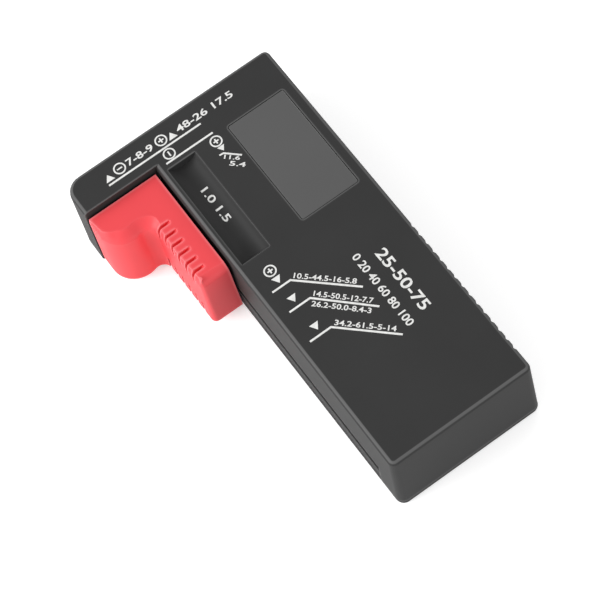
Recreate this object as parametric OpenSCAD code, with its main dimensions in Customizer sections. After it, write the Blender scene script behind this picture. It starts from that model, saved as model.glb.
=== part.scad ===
// Handheld cell and battery tester: an L-shaped two-shell case with a display window,
// a sprung slider that clamps a round cell against the head, and two pads for a 9 V block.
// Frame: +Z out of the face, +Y towards the head, +X towards the display. The case lies on
// its back at Z = 0, centred on the origin. Millimetres.

/* [Case] */
// Length of the case, along the handle
case_l = 108; // [106:1:112]
// Width across the head
head_w = 60.8; // [60:0.2:62]
// Width of the handle slab
slab_w = 40.2; // [39:0.1:41]
// Depth of the head bar that overhangs the cell bay
head_d = 10.5; // [9.5:0.1:11]
// Thickness from back to face
case_t = 24; // [23.5:0.5:25]
// How much each outer wall leans in on its way from the back to the face
draft = 0.6; // [0.2:0.1:0.8]
// Wall thickness
wall = 2; // [1.8:0.1:2.2]
// Radius of the rounded rim round the face and the back
edge_r = 1.1; // [0.7:0.1:1.1]
// Radius of the head's outer corner
head_r = 5; // [3:0.5:6]
// Radius of the other upright corners, at the back
corner_r = 2.2; // [1.8:0.2:2.6]

/* [Grip] */
// Number of grooves in the side grip
grip_count = 15; // [9:1:16]
// Distance from groove to groove
grip_pitch = 2.8; // [2.4:0.1:2.9]
// Depth of each groove
grip_depth = 0.5; // [0.3:0.1:0.7]

/* [Trough] */
// Width of the scooped trough in the face
trough_w = 8; // [6.5:0.5:8.5]
// Length of the trough
trough_l = 32; // [28:0.5:33]
// Depth of the trough
trough_depth = 2.4; // [1.8:0.2:2.8]

/* [Display] */
// Width of the window
window_w = 16.4; // [14:0.1:16.8]
// Length of the window
window_l = 32; // [30:0.1:33]
// Thickness of the window plate
window_t = 1.2; // [1:0.1:1.3]

/* [Slider] */
// How far the slider opens, enough for the longest cell
travel = 62; // [55:1:62]
// Thickness of the slider, front to back
slider_t = 20; // [18:0.5:20]
// Width of the slider's leg
leg_w = 8.3; // [7:0.1:8.6]
// Width of the rounding between the slider's face and its thumb rest
slider_round = 2.8; // [1.6:0.1:2.8]
// Number of finger grooves in the leg
groove_count = 6; // [4:1:6]
// Distance from finger groove to finger groove
groove_pitch = 2.95; // [2.4:0.05:2.95]
// Depth of a finger groove at the slider's face
groove_depth = 4.2; // [1.5:0.1:4.2]
// How far down the slider's side a finger groove fades out
groove_fade = 5; // [3:0.5:8]

/* [Contacts] */
// Distance between the terminals of a 9 V block
terminal_pitch = 12.7; // [12.5:0.1:13]
// Thickness of the sheet metal contacts
sheet = 0.4; // [0.3:0.05:0.5]
// Width of the pads that press on a cell
pad_w = 16.4; // [14:0.2:17]
// Height of those pads
pad_h = 9; // [7:0.5:10]

/* [Return spring] */
// Number of turns
spring_turns = 26; // [18:1:32]
// Mean radius of the turns
spring_r = 1.4; // [1.2:0.05:1.45]
// Radius of the spring wire
spring_wire = 0.2; // [0.15:0.01:0.25]

/* [Hidden] */

gap = 0.1;             // between pieces that stay put
run_gap = 0.3;         // between pieces that slide past each other
cut = 0.5;             // how far a cutter runs past the surface that it opens

// case
x1 = head_w / 2;
x0 = -x1;
slab_x = x1 - slab_w;
y1 = case_l / 2;
y0 = -y1;
head_y = y1 - head_d;
cover_t = wall;
ceiling = case_t - wall;
inner_x0 = slab_x + wall;
inner_x1 = x1 - wall;
head_inner_y = head_y + wall;

// grip on the right side
grip_top = y0 + 46.5;
grip_cutter = 0.9;
grip_run_in = 3.8;

// trough in the face
trough_x0 = slab_x + 2.3;
trough_x1 = trough_x0 + trough_w;
trough_y1 = head_y - 2.75;
trough_y0 = trough_y1 - trough_l;
trough_wall = 1.8;
trough_r = (trough_w * trough_w / 4 + trough_depth * trough_depth) / (2 * trough_depth);

// display
window_x1 = x1 - 3.8;
window_x0 = window_x1 - window_w;
window_y1 = y1 - 12.6;
window_y0 = window_y1 - window_l;
window_border = 1.5;
glass_t = 0.9;
glass_z1 = ceiling - gap;
glass_x1 = inner_x1 - 0.4;
glass_x0 = window_x0 - 2.3;
glass_y0 = window_y0 - 1.5;
glass_y1 = window_y1 + 1.4;
rear_glass_x0 = glass_x0 + 2.6;

// circuit board
board_t = 1.6;
board_z1 = case_t - 8.4;
board_z0 = board_z1 - board_t;
board_x0 = inner_x0 + 10;
board_x1 = inner_x1 - 0.4;
board_y0 = y0 + 6;
board_y1 = glass_y1 + 1;
boss_r = 2.4;
screw_r = 0.95;
screw_head_r = 1.9;
screw_head_t = 1.3;
boss_inset = 3.2;
boss_low_y = board_y0 + 4;
boss_high_y = glass_y0 - 6;
bosses = [[board_x0 + boss_inset, boss_low_y], [board_x1 - boss_inset, boss_low_y],
          [board_x0 + boss_inset, boss_high_y], [board_x1 - boss_inset, boss_high_y]];

// slider, closed
slider_z0 = 2;
slider_z1 = slider_z0 + slider_t;
slider_y1 = head_y - 0.7;
slider_x1 = slab_x - run_gap;
slider_x0 = x0 + 0.3;
leg_x = slider_x1 - leg_w;
leg_y0 = slider_y1 - 31.9;
leg_corner = 1.5;
nose_r = 6.6;
nose = [slider_x0 + nose_r, slider_y1 - 4.3];
notch_r = 2.5;
notch_x = leg_x - notch_r;
notch_run = notch_x - nose[0];
notch_drop = sqrt(pow(nose_r + notch_r, 2) - notch_run * notch_run);
notch = [notch_x, nose[1] - notch_drop];
meet_angle = atan2(-notch_drop, notch_run);
round_rise = slider_round * 0.8;
crease_angle = atan(2 * slider_round / round_rise);
groove_w = 0.85;
groove_y = leg_y0 + 4.5;

// tongue, flange and slot: the tongue runs in a slot, the flange behind it keeps it there
slot_z0 = 6.8;
slot_z1 = 9.4;
tongue_z0 = slot_z0 + run_gap;
tongue_z1 = slot_z1 - run_gap;
tongue_y0 = leg_y0 + 5.4;
tongue_y1 = slider_y1 - 5.7;
slot_y0 = tongue_y0 - travel - run_gap;
slot_y1 = tongue_y1 + sheet + run_gap;
flange_x0 = inner_x0 + run_gap;
flange_x1 = flange_x0 + 1.6;
flange_z0 = tongue_z0 - 2.7;
flange_z1 = tongue_z1 + 2.9;

// return spring, along the corridor behind the slot
spring_x = flange_x1 + 2.2;
spring_z = (slot_z0 + slot_z1) / 2 + 0.1;
peg = [spring_x, tongue_y0 + 1.6];
peg_r = 1;
post_r = 1.1;
post = [spring_x, head_y - 2.5];
loop_r = post_r + spring_wire + 0.06;
spring_y0 = peg[1] + loop_r + 0.5;
spring_y1 = post[1] - loop_r - 0.5;

// contacts
rail_z0 = flange_z1 + 2;
rail_z1 = rail_z0 + sheet;
rail_x0 = inner_x0 + 0.4;
rail_x1 = rail_x0 + 2.4;
ledge_t = 1.2;
ledge_y0 = slot_y0 - 2.7;
ledge_y1 = slot_y1 + 1.1;
middle_z = case_t / 2;
pad_x0 = slider_x0 + 1.5;
pad_x1 = pad_x0 + pad_w;
strip_w = 1.8;
strip_z0 = tongue_z0 + 0.1;
strip_z1 = strip_z0 + strip_w;
tab_w = 4;
tab_x = pad_x0 + pad_w * 0.75;
block_pad = 8;
block_tab_z = middle_z + 4;
block_minus_x = x0 + 14;
block_plus_x = block_minus_x + terminal_pitch;

// back cover
hook_w = 4;
hook_t = 1.2;
hook_top = cover_t + 5.6;
barb = 0.5;
barb_h = 1.2;
lip_h = 1.6;
table_x0 = slab_x + 12.5;
table_x1 = table_x0 + 17.4;
table_y0 = y0 + 32.3;
table_y1 = table_y0 + 45.5;
table_header = 12;
table_rows = 4;
table_columns = 4;
line_w = 0.4;
line_depth = 0.3;
side_hooks = [y0 + 14, 0, y1 - 20];
end_hooks = [slab_x + 10, x1 - 9];

black = "#3f3f40";
cover_black = "#474748";
red = "#ea4a50";
nickel = "#c9c7c0";
brass = "#c8a24c";
phosphor = "#b87a48";

// ---- shapes ----

// a plate with rounded corners, exact arcs
module soft_rect(xa, ya, xb, yb, r) {
    translate([xa + r, ya]) square([xb - xa - 2 * r, yb - ya]);
    translate([xa, ya + r]) square([xb - xa, yb - ya - 2 * r]);
    for (x = [xa + r, xb - r], y = [ya + r, yb - r])
        translate([x, y]) circle(r = r, $fn = 32);
}

// how far an outer wall has leaned in at a height
function lean(z) = draft * z / case_t;

// an upright corner that leans with the walls, its top or bottom rim rounded off
module corner_post(x, y, r, za, zb, low, high) {
    steps = 4;
    low_r = r - lean(za);
    high_r = r - lean(zb);
    rim = min(edge_r, high_r - 0.05);
    low_arc = [for (i = [0 : steps]) let (a = 90 * i / steps)
        [low_r - rim * (1 - sin(a)), za + rim * (1 - cos(a))]];
    high_arc = [for (i = [0 : steps]) let (a = 90 * i / steps)
        [high_r - rim * (1 - cos(a)), zb - rim * (1 - sin(a))]];
    translate([x, y, 0])
        rotate_extrude($fn = 32)
            polygon(concat([[0, za]], low ? low_arc : [[low_r, za]],
                           high ? high_arc : [[high_r, zb]], [[0, zb]]));
}

// the L of the case, as a slab and a head bar; radii run near left, near right, far right, far left
module case_bar(xa, ya, xb, yb, za, zb, low, high, radii) {
    hull() {
        corner_post(xa + radii[0], ya + radii[0], radii[0], za, zb, low, high);
        corner_post(xb - radii[1], ya + radii[1], radii[1], za, zb, low, high);
        corner_post(xb - radii[2], yb - radii[2], radii[2], za, zb, low, high);
        corner_post(xa + radii[3], yb - radii[3], radii[3], za, zb, low, high);
    }
}

module slab_box(xa, ya, za, xb, yb, zb) {
    translate([xa, ya, za]) cube([xb - xa, yb - ya, zb - za]);
}

module case_solid(za, zb, low, high) {
    r = corner_r;
    case_bar(slab_x, y0, x1, y1, za, zb, low, high, [r, r, r, r]);
    // the head's underside is cut flat, so that its edges stay sharp
    difference() {
        case_bar(x0, head_y - 2 * r, x1, y1, za, zb, low, high, [r, r, r, head_r]);
        slab_box(x0 - cut, head_y - 2 * r - cut, za - cut, slab_x + r, head_y, zb + cut);
    }
}

module grip_grooves(za, zb) {
    for (i = [0 : grip_count - 1])
        translate([x1 + grip_cutter - grip_depth, grip_top - i * grip_pitch, 0])
            rotate([0, -atan(draft / case_t), 0])
                translate([0, 0, za]) cylinder(r = grip_cutter, h = zb - za, $fn = 24);
}

function unit(v) = v / norm(v);

// normals carried along a path without twisting
function carried(tangents, n, i = 0) = i == len(tangents) ? [] :
    let (m = unit(n - (n * tangents[i]) * tangents[i]))
    concat([m], carried(tangents, m, i + 1));

// a round wire along a path
module tube(path, r, sides, start_normal) {
    last = len(path) - 1;
    tangents = [for (i = [0 : last]) unit(path[min(i + 1, last)] - path[max(i - 1, 0)])];
    normals = carried(tangents, start_normal);
    points = [for (i = [0 : last], k = [0 : sides - 1])
        let (a = 360 * k / sides)
        path[i] + r * (cos(a) * normals[i] + sin(a) * cross(tangents[i], normals[i]))];
    walls = [for (i = [0 : last - 1], k = [0 : sides - 1])
        let (n = (k + 1) % sides, p = i * sides)
        each [[p + k, p + sides + k, p + sides + n], [p + k, p + sides + n, p + n]]];
    start_cap = [for (k = [0 : sides - 1]) k];
    end_cap = [for (k = [0 : sides - 1]) last * sides + sides - 1 - k];
    polyhedron(points = points, faces = concat(walls, [start_cap, end_cap]));
}

// points on a smooth curve through the given ones
function curve_point(p, i, t) =
    let (n = len(p) - 1, a = p[max(i - 1, 0)], b = p[i], c = p[i + 1], d = p[min(i + 2, n)])
    0.5 * (2 * b + (c - a) * t + (2 * a - 5 * b + 4 * c - d) * t * t
           + (3 * b - a - 3 * c + d) * t * t * t);
function smooth(p, steps) = concat(
    [for (i = [0 : len(p) - 2], k = [0 : steps - 1]) curve_point(p, i, k / steps)],
    [p[len(p) - 1]]);

module hookup_wire(points, shade) {
    color(shade) tube(smooth(points, 4), 0.6, 8, [0.2, 0.3, 1]);
}

// ---- case ----

// a round channel that a small cell lies in
module trough_cutter() {
    intersection() {
        translate([(trough_x0 + trough_x1) / 2, trough_y1, case_t - trough_depth + trough_r])
            rotate([90, 0, 0]) cylinder(r = trough_r, h = trough_l, $fn = 96);
        // the near end slopes up to the face
        translate([trough_x0 - cut, 0, 0]) rotate([90, 0, 90]) linear_extrude(trough_w + 2 * cut)
            polygon([[trough_y0, case_t + cut], [trough_y0, case_t],
                     [trough_y0 + trough_depth * 0.7, case_t - trough_depth - cut],
                     [trough_y1, case_t - trough_depth - cut], [trough_y1, case_t + cut]]);
    }
}

// a window for a snap hook's barb, in an inner wall; turn is the wall's outward direction
module hook_pocket(x, y, turn) {
    translate([x, y, hook_top - barb_h - 0.4]) rotate([0, 0, turn])
        translate([-cut, -hook_w / 2 - run_gap, 0])
            cube([cut + barb + 0.3, hook_w + 2 * run_gap, barb_h + 0.6]);
}

module all_hook_pockets() {
    for (y = side_hooks) hook_pocket(inner_x1, y, 0);
    for (x = end_hooks) {
        hook_pocket(x, y0 + wall, -90);
        hook_pocket(x, y1 - wall, 90);
    }
}

module case_cavity() {
    slab_box(inner_x0, y0 + wall, cover_t - cut, inner_x1, y1 - wall, ceiling);
    translate([0, 0, cover_t - cut]) linear_extrude(ceiling - cover_t + cut)
        soft_rect(x0 + wall, head_inner_y, inner_x0 + 4, y1 - wall, 2);
}

module display_opening() {
    translate([0, 0, case_t - window_t]) linear_extrude(window_t + cut)
        soft_rect(window_x0, window_y0, window_x1, window_y1, 0.6);
    slab_box(window_x0 + window_border, window_y0 + window_border, ceiling - cut,
             window_x1 - window_border, window_y1 - window_border, case_t);
}

module front_shell() {
    color(black) difference() {
        union() {
            difference() {
                case_solid(cover_t, case_t, false, true);
                case_cavity();
            }
            // backing under the trough
            slab_box(inner_x0 - gap, trough_y0 - 1.5, case_t - trough_depth - trough_wall,
                     trough_x1 + 2, head_inner_y, ceiling + gap);
            // ledge that carries the contact rail
            slab_box(inner_x0 - gap, ledge_y0, rail_z1, rail_x1 + 0.6, ledge_y1,
                     rail_z1 + ledge_t);
            // post that anchors the return spring
            translate([post[0], post[1], spring_z - 1.8])
                cylinder(r = post_r, h = ceiling - spring_z + 1.8 + gap, $fn = 32);
            // bosses for the board
            for (b = bosses)
                translate([b[0], b[1], board_z1])
                    cylinder(r = boss_r, h = ceiling - board_z1 + gap, $fn = 32);
        }
        for (b = bosses)
            translate([b[0], b[1], board_z1 - cut])
                cylinder(r = screw_r + 0.05, h = 5 + cut, $fn = 24);
        trough_cutter();
        display_opening();
        grip_grooves(cover_t - cut, case_t + cut);
        all_hook_pockets();
        // upper part of the slider's slot; the back cover closes it from below
        slab_box(slab_x - cut, slot_y0, cover_t - cut, inner_x0 + cut, slot_y1, slot_z1);
        // seat and tab slot of the contact under the head
        slab_box(pad_x0 - gap, head_y - cut, middle_z - pad_h / 2 - gap,
                 pad_x1 + gap, head_y + sheet, middle_z + pad_h / 2 + gap);
        slab_box(tab_x - tab_w / 2 - gap, head_y - cut, middle_z - sheet / 2 - gap,
                 tab_x + tab_w / 2 + gap, head_inner_y + cut, middle_z + sheet / 2 + gap);
        // seats and tab slots of the 9 V pads
        for (x = [block_minus_x, block_plus_x]) {
            slab_box(x - block_pad / 2 - gap, y1 - sheet, middle_z - block_pad / 2 - gap,
                     x + block_pad / 2 + gap, y1 + cut, middle_z + block_pad / 2 + gap);
            slab_box(x - 1.5 - gap, y1 - wall - cut, block_tab_z - sheet - gap,
                     x + 1.5 + gap, y1 + cut, block_tab_z + gap);
        }
    }
}

module snap_hook(x, y, turn) {
    translate([x, y, 0]) rotate([0, 0, turn]) {
        translate([-hook_t - 0.2, -hook_w / 2, cover_t - gap])
            cube([hook_t, hook_w, hook_top - cover_t + gap]);
        translate([-0.2 - gap, hook_w / 2, hook_top]) rotate([90, 0, 0])
            linear_extrude(hook_w)
                polygon([[0, 0], [0, -barb_h], [gap + 0.2 + barb, -barb_h]]);
    }
}

module table_lines() {
    columns = [for (i = [0 : table_columns]) table_x0 + (table_x1 - table_x0) * i / table_columns];
    row_h = (table_y1 - table_y0 - table_header) / table_rows;
    rows = [for (i = [1 : table_rows]) table_y0 + row_h * i];
    translate([0, 0, -cut]) linear_extrude(cut + line_depth) {
        difference() {
            soft_rect(table_x0 - line_w / 2, table_y0 - line_w / 2,
                      table_x1 + line_w / 2, table_y1 + line_w / 2, 2);
            soft_rect(table_x0 + line_w / 2, table_y0 + line_w / 2,
                      table_x1 - line_w / 2, table_y1 - line_w / 2, 2 - line_w);
        }
        for (i = [1 : table_columns - 1])
            translate([columns[i] - line_w / 2, table_y0]) square([line_w, table_y1 - table_y0]);
        for (y = rows)
            translate([table_x0, y - line_w / 2]) square([table_x1 - table_x0, line_w]);
    }
}

module back_cover() {
    lip_gap = 0.15;
    color(cover_black) difference() {
        union() {
            case_solid(0, cover_t, true, false);
            // low wall that closes the slider's slot from below
            slab_box(slab_x + lean(slot_z0), slot_y0 + gap, cover_t - gap,
                     inner_x0, slot_y1 - gap, slot_z0);
            // locating lips along the right and near walls
            slab_box(inner_x1 - lip_gap - hook_t, y0 + 22, cover_t - gap,
                     inner_x1 - lip_gap, -6, cover_t + lip_h);
            slab_box(slab_x + 14, y0 + wall + lip_gap, cover_t - gap,
                     x1 - 13, y0 + wall + lip_gap + hook_t, cover_t + lip_h);
            slab_box(x0 + wall + lip_gap + 3, y1 - wall - lip_gap - hook_t, cover_t - gap,
                     slab_x - 2, y1 - wall - lip_gap, cover_t + lip_h);
            for (y = side_hooks) snap_hook(inner_x1, y, 0);
            for (x = end_hooks) {
                snap_hook(x, y0 + wall, -90);
                snap_hook(x, y1 - wall, 90);
            }
        }
        grip_grooves(-cut, cover_t + cut);
        // the grooves run on over the rim and fade out on the back
        for (i = [0 : grip_count - 1])
            translate([x1 + cut, grip_top - i * grip_pitch, -grip_cutter + 0.6])
                rotate([0, -90 - 8, 0])
                    cylinder(r = grip_cutter, h = grip_run_in + cut, $fn = 24);
        table_lines();
    }
}

// ---- display ----

module display_window() {
    color("#606060") translate([0, 0, case_t - window_t])
        linear_extrude(window_t)
            soft_rect(window_x0 + gap, window_y0 + gap, window_x1 - gap, window_y1 - gap, 0.5);
}

module display_glass() {
    color("#8b938a") {
        slab_box(glass_x0, glass_y0, glass_z1 - glass_t, glass_x1, glass_y1, glass_z1);
        slab_box(rear_glass_x0, glass_y0, glass_z1 - 2 * glass_t,
                 glass_x1, glass_y1, glass_z1 - glass_t);
    }
}

module display_holder() {
    rim = 0.35;
    edge = 0.9;
    color("#d8d6cf") difference() {
        slab_box(glass_x0 - edge, glass_y0 - edge, board_z1 + gap,
                 glass_x1 + rim, glass_y1 + edge, glass_z1);
        slab_box(glass_x0 - gap, glass_y0 - gap, glass_z1 - glass_t - gap,
                 glass_x1 + gap, glass_y1 + gap, glass_z1 + cut);
        slab_box(rear_glass_x0 - gap, glass_y0 - gap, glass_z1 - 2 * glass_t - gap,
                 glass_x1 + gap, glass_y1 + gap, glass_z1);
        slab_box(glass_x0, glass_y0 + 0.6, board_z1, glass_x0 + 2.2, glass_y1 - 0.6, glass_z1);
        slab_box(rear_glass_x0 + 1.5, glass_y0 + 2, board_z1, glass_x1 - 1.5, glass_y1 - 2,
                 glass_z1);
    }
}

module contact_strip() {
    color("#c98fa0")
        slab_box(glass_x0 + gap, glass_y0 + 1, board_z1, glass_x0 + 2.1, glass_y1 - 1,
                 glass_z1 - glass_t);
}

// ---- circuit board ----

module circuit_board() {
    color("#2f6b42") difference() {
        translate([0, 0, board_z0]) linear_extrude(board_t)
            soft_rect(board_x0, board_y0, board_x1, board_y1, 1);
        for (b = bosses)
            translate([b[0], b[1], board_z0 - cut])
                cylinder(r = screw_r + 0.15, h = board_t + 2 * cut, $fn = 24);
    }
}

blob = [board_x0 + 12.5, boss_low_y + 26];
blob_r = 6;
blob_h = 1.5;
module controller_blob() {
    dome_r = (blob_r * blob_r + blob_h * blob_h) / (2 * blob_h);
    color("#1b1b1c") intersection() {
        translate([blob[0], blob[1], board_z0 - blob_h + dome_r]) sphere(r = dome_r, $fn = 96);
        translate([blob[0], blob[1], board_z0 - blob_h - cut])
            cylinder(r = blob_r + 1, h = blob_h + cut, $fn = 48);
    }
}

module chip_part(x, y, l, w, h) {
    slab_box(x - l / 2, y - w / 2, board_z0 - h, x + l / 2, y + w / 2, board_z0);
}

module chip_resistors() {
    color("#2a2a2c")
        for (i = [0 : 7])
            chip_part(board_x0 + 4 + 2.3 * i, blob[1] + 10, 1.25, 2, 0.55);
}

module chip_capacitors() {
    color("#b49b78")
        for (i = [0 : 5])
            chip_part(board_x0 + 4 + 3.1 * i, blob[1] - 9.5, 2, 1.25, 0.9);
}

axial_x = board_x0 + 12;
module axial_part(y, body_r, body_l, lead_r) {
    z = board_z0 - body_r - 0.3;
    reach = body_l / 2 + 1.6;
    translate([axial_x, y, z]) rotate([0, 90, 0]) {
        translate([0, 0, -body_l / 2]) cylinder(r = body_r, h = body_l, $fn = 32);
        translate([0, 0, -reach]) cylinder(r = lead_r, h = 2 * reach, $fn = 16);
    }
    for (side = [-1, 1])
        translate([axial_x + side * reach, y, z - lead_r - 0.05])
            cylinder(r = lead_r + 0.05, h = board_z0 - z + lead_r + 0.05, $fn = 16);
}

module load_resistors() {
    color("#c7ab7c")
        for (i = [0, 1]) axial_part(boss_high_y + 8 + 6 * i, 1.25, 6.4, 0.3);
}

module rectifier_diodes() {
    color("#33302e")
        for (i = [0, 1]) axial_part(boss_high_y + 20 + 4.5 * i, 1, 4, 0.25);
}

module storage_capacitor() {
    r = 2.5;
    color("#31456e") translate([board_x1 - 6, boss_high_y + 30, board_z0 - r - 0.2])
        rotate([90, 0, 0]) cylinder(r = r, h = 7, $fn = 40);
}

coil = [board_x0 + 7, boss_low_y + 9];
coil_h = 5;
module inductor_core() {
    color("#3b3a3a") translate([coil[0], coil[1], board_z0 - coil_h])
        rotate_extrude($fn = 48)
            polygon([[0, 0], [3.4, 0], [3.4, 0.9], [1.5, 0.9], [1.5, coil_h - 0.9],
                     [3.4, coil_h - 0.9], [3.4, coil_h], [0, coil_h]]);
}

module inductor_winding() {
    color(phosphor) translate([coil[0], coil[1], board_z0 - coil_h])
        rotate_extrude($fn = 48)
            translate([1.55, 0.95]) square([1.45, coil_h - 1.9]);
}

trimmer = [board_x1 - 7, boss_low_y + 9];
module trimmer_body() {
    color("#3d6aa8") difference() {
        chip_part(trimmer[0], trimmer[1], 6.5, 6.5, 3);
        translate([trimmer[0], trimmer[1], board_z0 - 3 - cut])
            cylinder(r = 2.1, h = 1.6 + cut, $fn = 40);
    }
}

module trimmer_rotor() {
    color("#dedbd2") difference() {
        translate([trimmer[0], trimmer[1], board_z0 - 3.2])
            cylinder(r = 2, h = 1.8, $fn = 40);
        slab_box(trimmer[0] - 1.6, trimmer[1] - 0.3, board_z0 - 4,
                 trimmer[0] + 1.6, trimmer[1] + 0.3, board_z0 - 2.6);
    }
}

module board_screws() {
    color(nickel)
        for (b = bosses)
            translate([b[0], b[1], 0]) difference() {
                union() {
                    translate([0, 0, board_z0 - screw_head_t])
                        cylinder(r = screw_head_r, h = screw_head_t, $fn = 40);
                    translate([0, 0, board_z0 - gap])
                        cylinder(r = screw_r, h = board_t + 4, $fn = 24);
                }
                for (turn = [0, 90]) rotate([0, 0, turn])
                    slab_box(-1.1, -0.2, board_z0 - screw_head_t - cut,
                             1.1, 0.2, board_z0 - screw_head_t + 0.7);
            }
}

// ---- contacts of the case ----

module cell_contact_head() {
    color(nickel) {
        slab_box(pad_x0, head_y, middle_z - pad_h / 2, pad_x1, head_y + sheet,
                 middle_z + pad_h / 2);
        slab_box(tab_x - tab_w / 2, head_y + sheet - 0.05, middle_z - sheet / 2,
                 tab_x + tab_w / 2, head_y + 4.4, middle_z + sheet / 2);
    }
}

module block_contact(x) {
    half = block_pad / 2;
    color(nickel) {
        slab_box(x - half, y1 - sheet, middle_z - half, x + half, y1, middle_z + half);
        slab_box(x - 1.5, y1 - 4, block_tab_z - sheet, x + 1.5, y1 - sheet + 0.05, block_tab_z);
    }
}

module block_contact_minus() block_contact(block_minus_x);
module block_contact_plus() block_contact(block_plus_x);

module contact_rail() {
    color(brass) {
        slab_box(rail_x0, ledge_y0 - sheet, rail_z0, rail_x1, ledge_y1 + sheet, rail_z1);
        for (y = [ledge_y0 - sheet, ledge_y1])
            slab_box(rail_x0, y, rail_z1 - 0.05, rail_x1, y + sheet, rail_z1 + ledge_t + 0.8);
    }
}

// ---- slider ----

// points along an arc, each with its inward direction and how much of the rounding it takes;
// side is 1 where the solid lies inside the arc and -1 where it lies outside
function rim_arc(centre, r, a, b, side, share_a, share_b, steps) =
    [for (i = [0 : steps]) let (t = a + (b - a) * i / steps, out = [cos(t), sin(t)])
        [centre + r * out, -side * out, share_a + (share_b - share_a) * i / steps]];

slider_rim = concat(
    [[[slider_x1 + cut, slider_y1 + cut], [0, 0], 0],
     [[slider_x0, slider_y1 + cut], [1, 0], 0.04]],
    rim_arc(nose, nose_r, 180, 225, 1, 0.3, 1, 7),
    rim_arc(nose, nose_r, 232, 360 + meet_angle, 1, 1, 1, 8),
    rim_arc(notch, notch_r, 180 + meet_angle, 48, -1, 1, 1, 7),
    rim_arc(notch, notch_r, 40, 0, -1, 0.94, 0.25, 5),
    [[[leg_x, leg_y0 + 12], [1, 0], 0.12]],
    rim_arc([leg_x + leg_corner, leg_y0 + leg_corner], leg_corner, 180, 270, 1, 0.3, 0.8, 9),
    [[[slider_x1 + cut, leg_y0], [0, 1], 0.6]]);

module slider_body() {
    steps = 8;
    // the rounding is a parabola that leaves the side wall and meets the flat face at a crease;
    // the back has none, so its edges are sharp
    bend = [for (i = [0 : steps]) let (u = tan(crease_angle * i / steps) / tan(crease_angle))
        [slider_round * u * u, round_rise * (1 - u)]];
    levels = concat([[0, slider_z0 - cut]],
                    [for (b = bend) [b[0], slider_z1 - b[1]]],
                    [[slider_round, slider_z1 + cut]]);
    rings = [for (level = levels) [for (p = slider_rim)
        let (q = p[0] + p[1] * (p[2] * level[0] + lean(level[1]))) [q[0], q[1], level[1]]]];
    n = len(slider_rim);
    last = len(rings) - 1;
    walls = [for (i = [0 : last - 1], k = [0 : n - 1])
        let (m = (k + 1) % n, a = i * n + k, b = i * n + m)
        each [[a, a + n, b + n], [a, b + n, b]]];
    bottom = [for (k = [0 : n - 1]) k];
    top = [for (k = [0 : n - 1]) last * n + n - 1 - k];
    // the flat faces are cut by a box, so that each stays one face
    intersection() {
        polyhedron(points = [for (ring = rings) each ring], faces = concat(walls, [bottom, top]));
        slab_box(slider_x0 - cut, leg_y0 - cut, slider_z0, slider_x1, slider_y1, slider_z1);
    }
}

module slider() {
    color(red) difference() {
        union() {
            slider_body();
            slab_box(slider_x1 - 1, tongue_y0, tongue_z0, flange_x0 + gap, tongue_y1, tongue_z1);
            slab_box(flange_x0, tongue_y0, flange_z0, flange_x1, tongue_y1, flange_z1);
            // lug and peg that the return spring hooks on
            slab_box(flange_x1 - gap, tongue_y0, flange_z0 + 0.6, spring_x + 1.4,
                     tongue_y0 + 3.2, flange_z0 + 1.6);
            translate([peg[0], peg[1], flange_z0 + 1])
                cylinder(r = peg_r, h = spring_z - flange_z0 + 0.8, $fn = 32);
        }
        // finger grooves, from both faces, each with a floor that slopes out to the side
        for (i = [0 : groove_count - 1], face = [0, 1])
            translate([leg_x, groove_y + i * groove_pitch, middle_z])
                mirror([0, 0, face]) rotate([90, 0, 0])
                    linear_extrude(groove_w, center = true)
                        polygon([[-cut, slider_t / 2 - groove_fade], [0, slider_t / 2 - groove_fade],
                                 [groove_depth, slider_t / 2], [groove_depth, slider_t / 2 + cut],
                                 [-cut, slider_t / 2 + cut]]);
        // seat of the contact plate and of its strip
        slab_box(pad_x0 - gap, slider_y1 - sheet, middle_z - pad_h / 2 - gap,
                 slider_x1 + cut, slider_y1 + cut, middle_z + pad_h / 2 + gap);
        slab_box(slider_x1 - sheet, tongue_y1, strip_z0 - gap, slider_x1 + cut,
                 slider_y1 + cut, strip_z1 + gap);
    }
}

module cell_contact_slider() {
    x_in = flange_x1;
    color(nickel) {
        // pad on the arm
        slab_box(pad_x0, slider_y1 - sheet, middle_z - pad_h / 2, slider_x1,
                 slider_y1, middle_z + pad_h / 2);
        // strip down the slider's side, through the slot and up the flange
        slab_box(slider_x1 - sheet, tongue_y1, strip_z0, slider_x1, slider_y1 - sheet + 0.05,
                 strip_z1);
        slab_box(slider_x1 - sheet, tongue_y1, strip_z0, x_in + 0.3, tongue_y1 + sheet, strip_z1);
        slab_box(x_in, tongue_y1 - 2.2, strip_z0, x_in + 0.3, tongue_y1 + sheet, flange_z1 + 0.5);
        // fold that clamps the wiper's foot
        slab_box(flange_x0 + gap, tongue_y1 - 2.2, flange_z1 + 0.2, x_in + 0.3, tongue_y1 - 0.1,
                 flange_z1 + 0.5);
    }
}

module wiper_spring() {
    leaf = 0.2;
    foot_y = tongue_y1 - 3.8;
    span = 11;
    steps = 14;
    rise = rail_z0 - flange_z1 - 0.1 - leaf;
    crest = [for (i = [0 : steps]) let (t = i / steps)
        [foot_y - span * t, flange_z1 + rise * sin(180 * min(t, 0.92))]];
    under = [for (i = [steps : -1 : 0]) crest[i]];
    over = [for (p = crest) p + [0, leaf]];
    color(phosphor) translate([flange_x0 + gap, 0, 0]) rotate([90, 0, 90]) linear_extrude(1.4)
        polygon(concat([[tongue_y1 - 0.1, flange_z1], [tongue_y1 - 0.1, flange_z1 + leaf]],
                       over, under));
}

// ---- return spring ----

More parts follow.
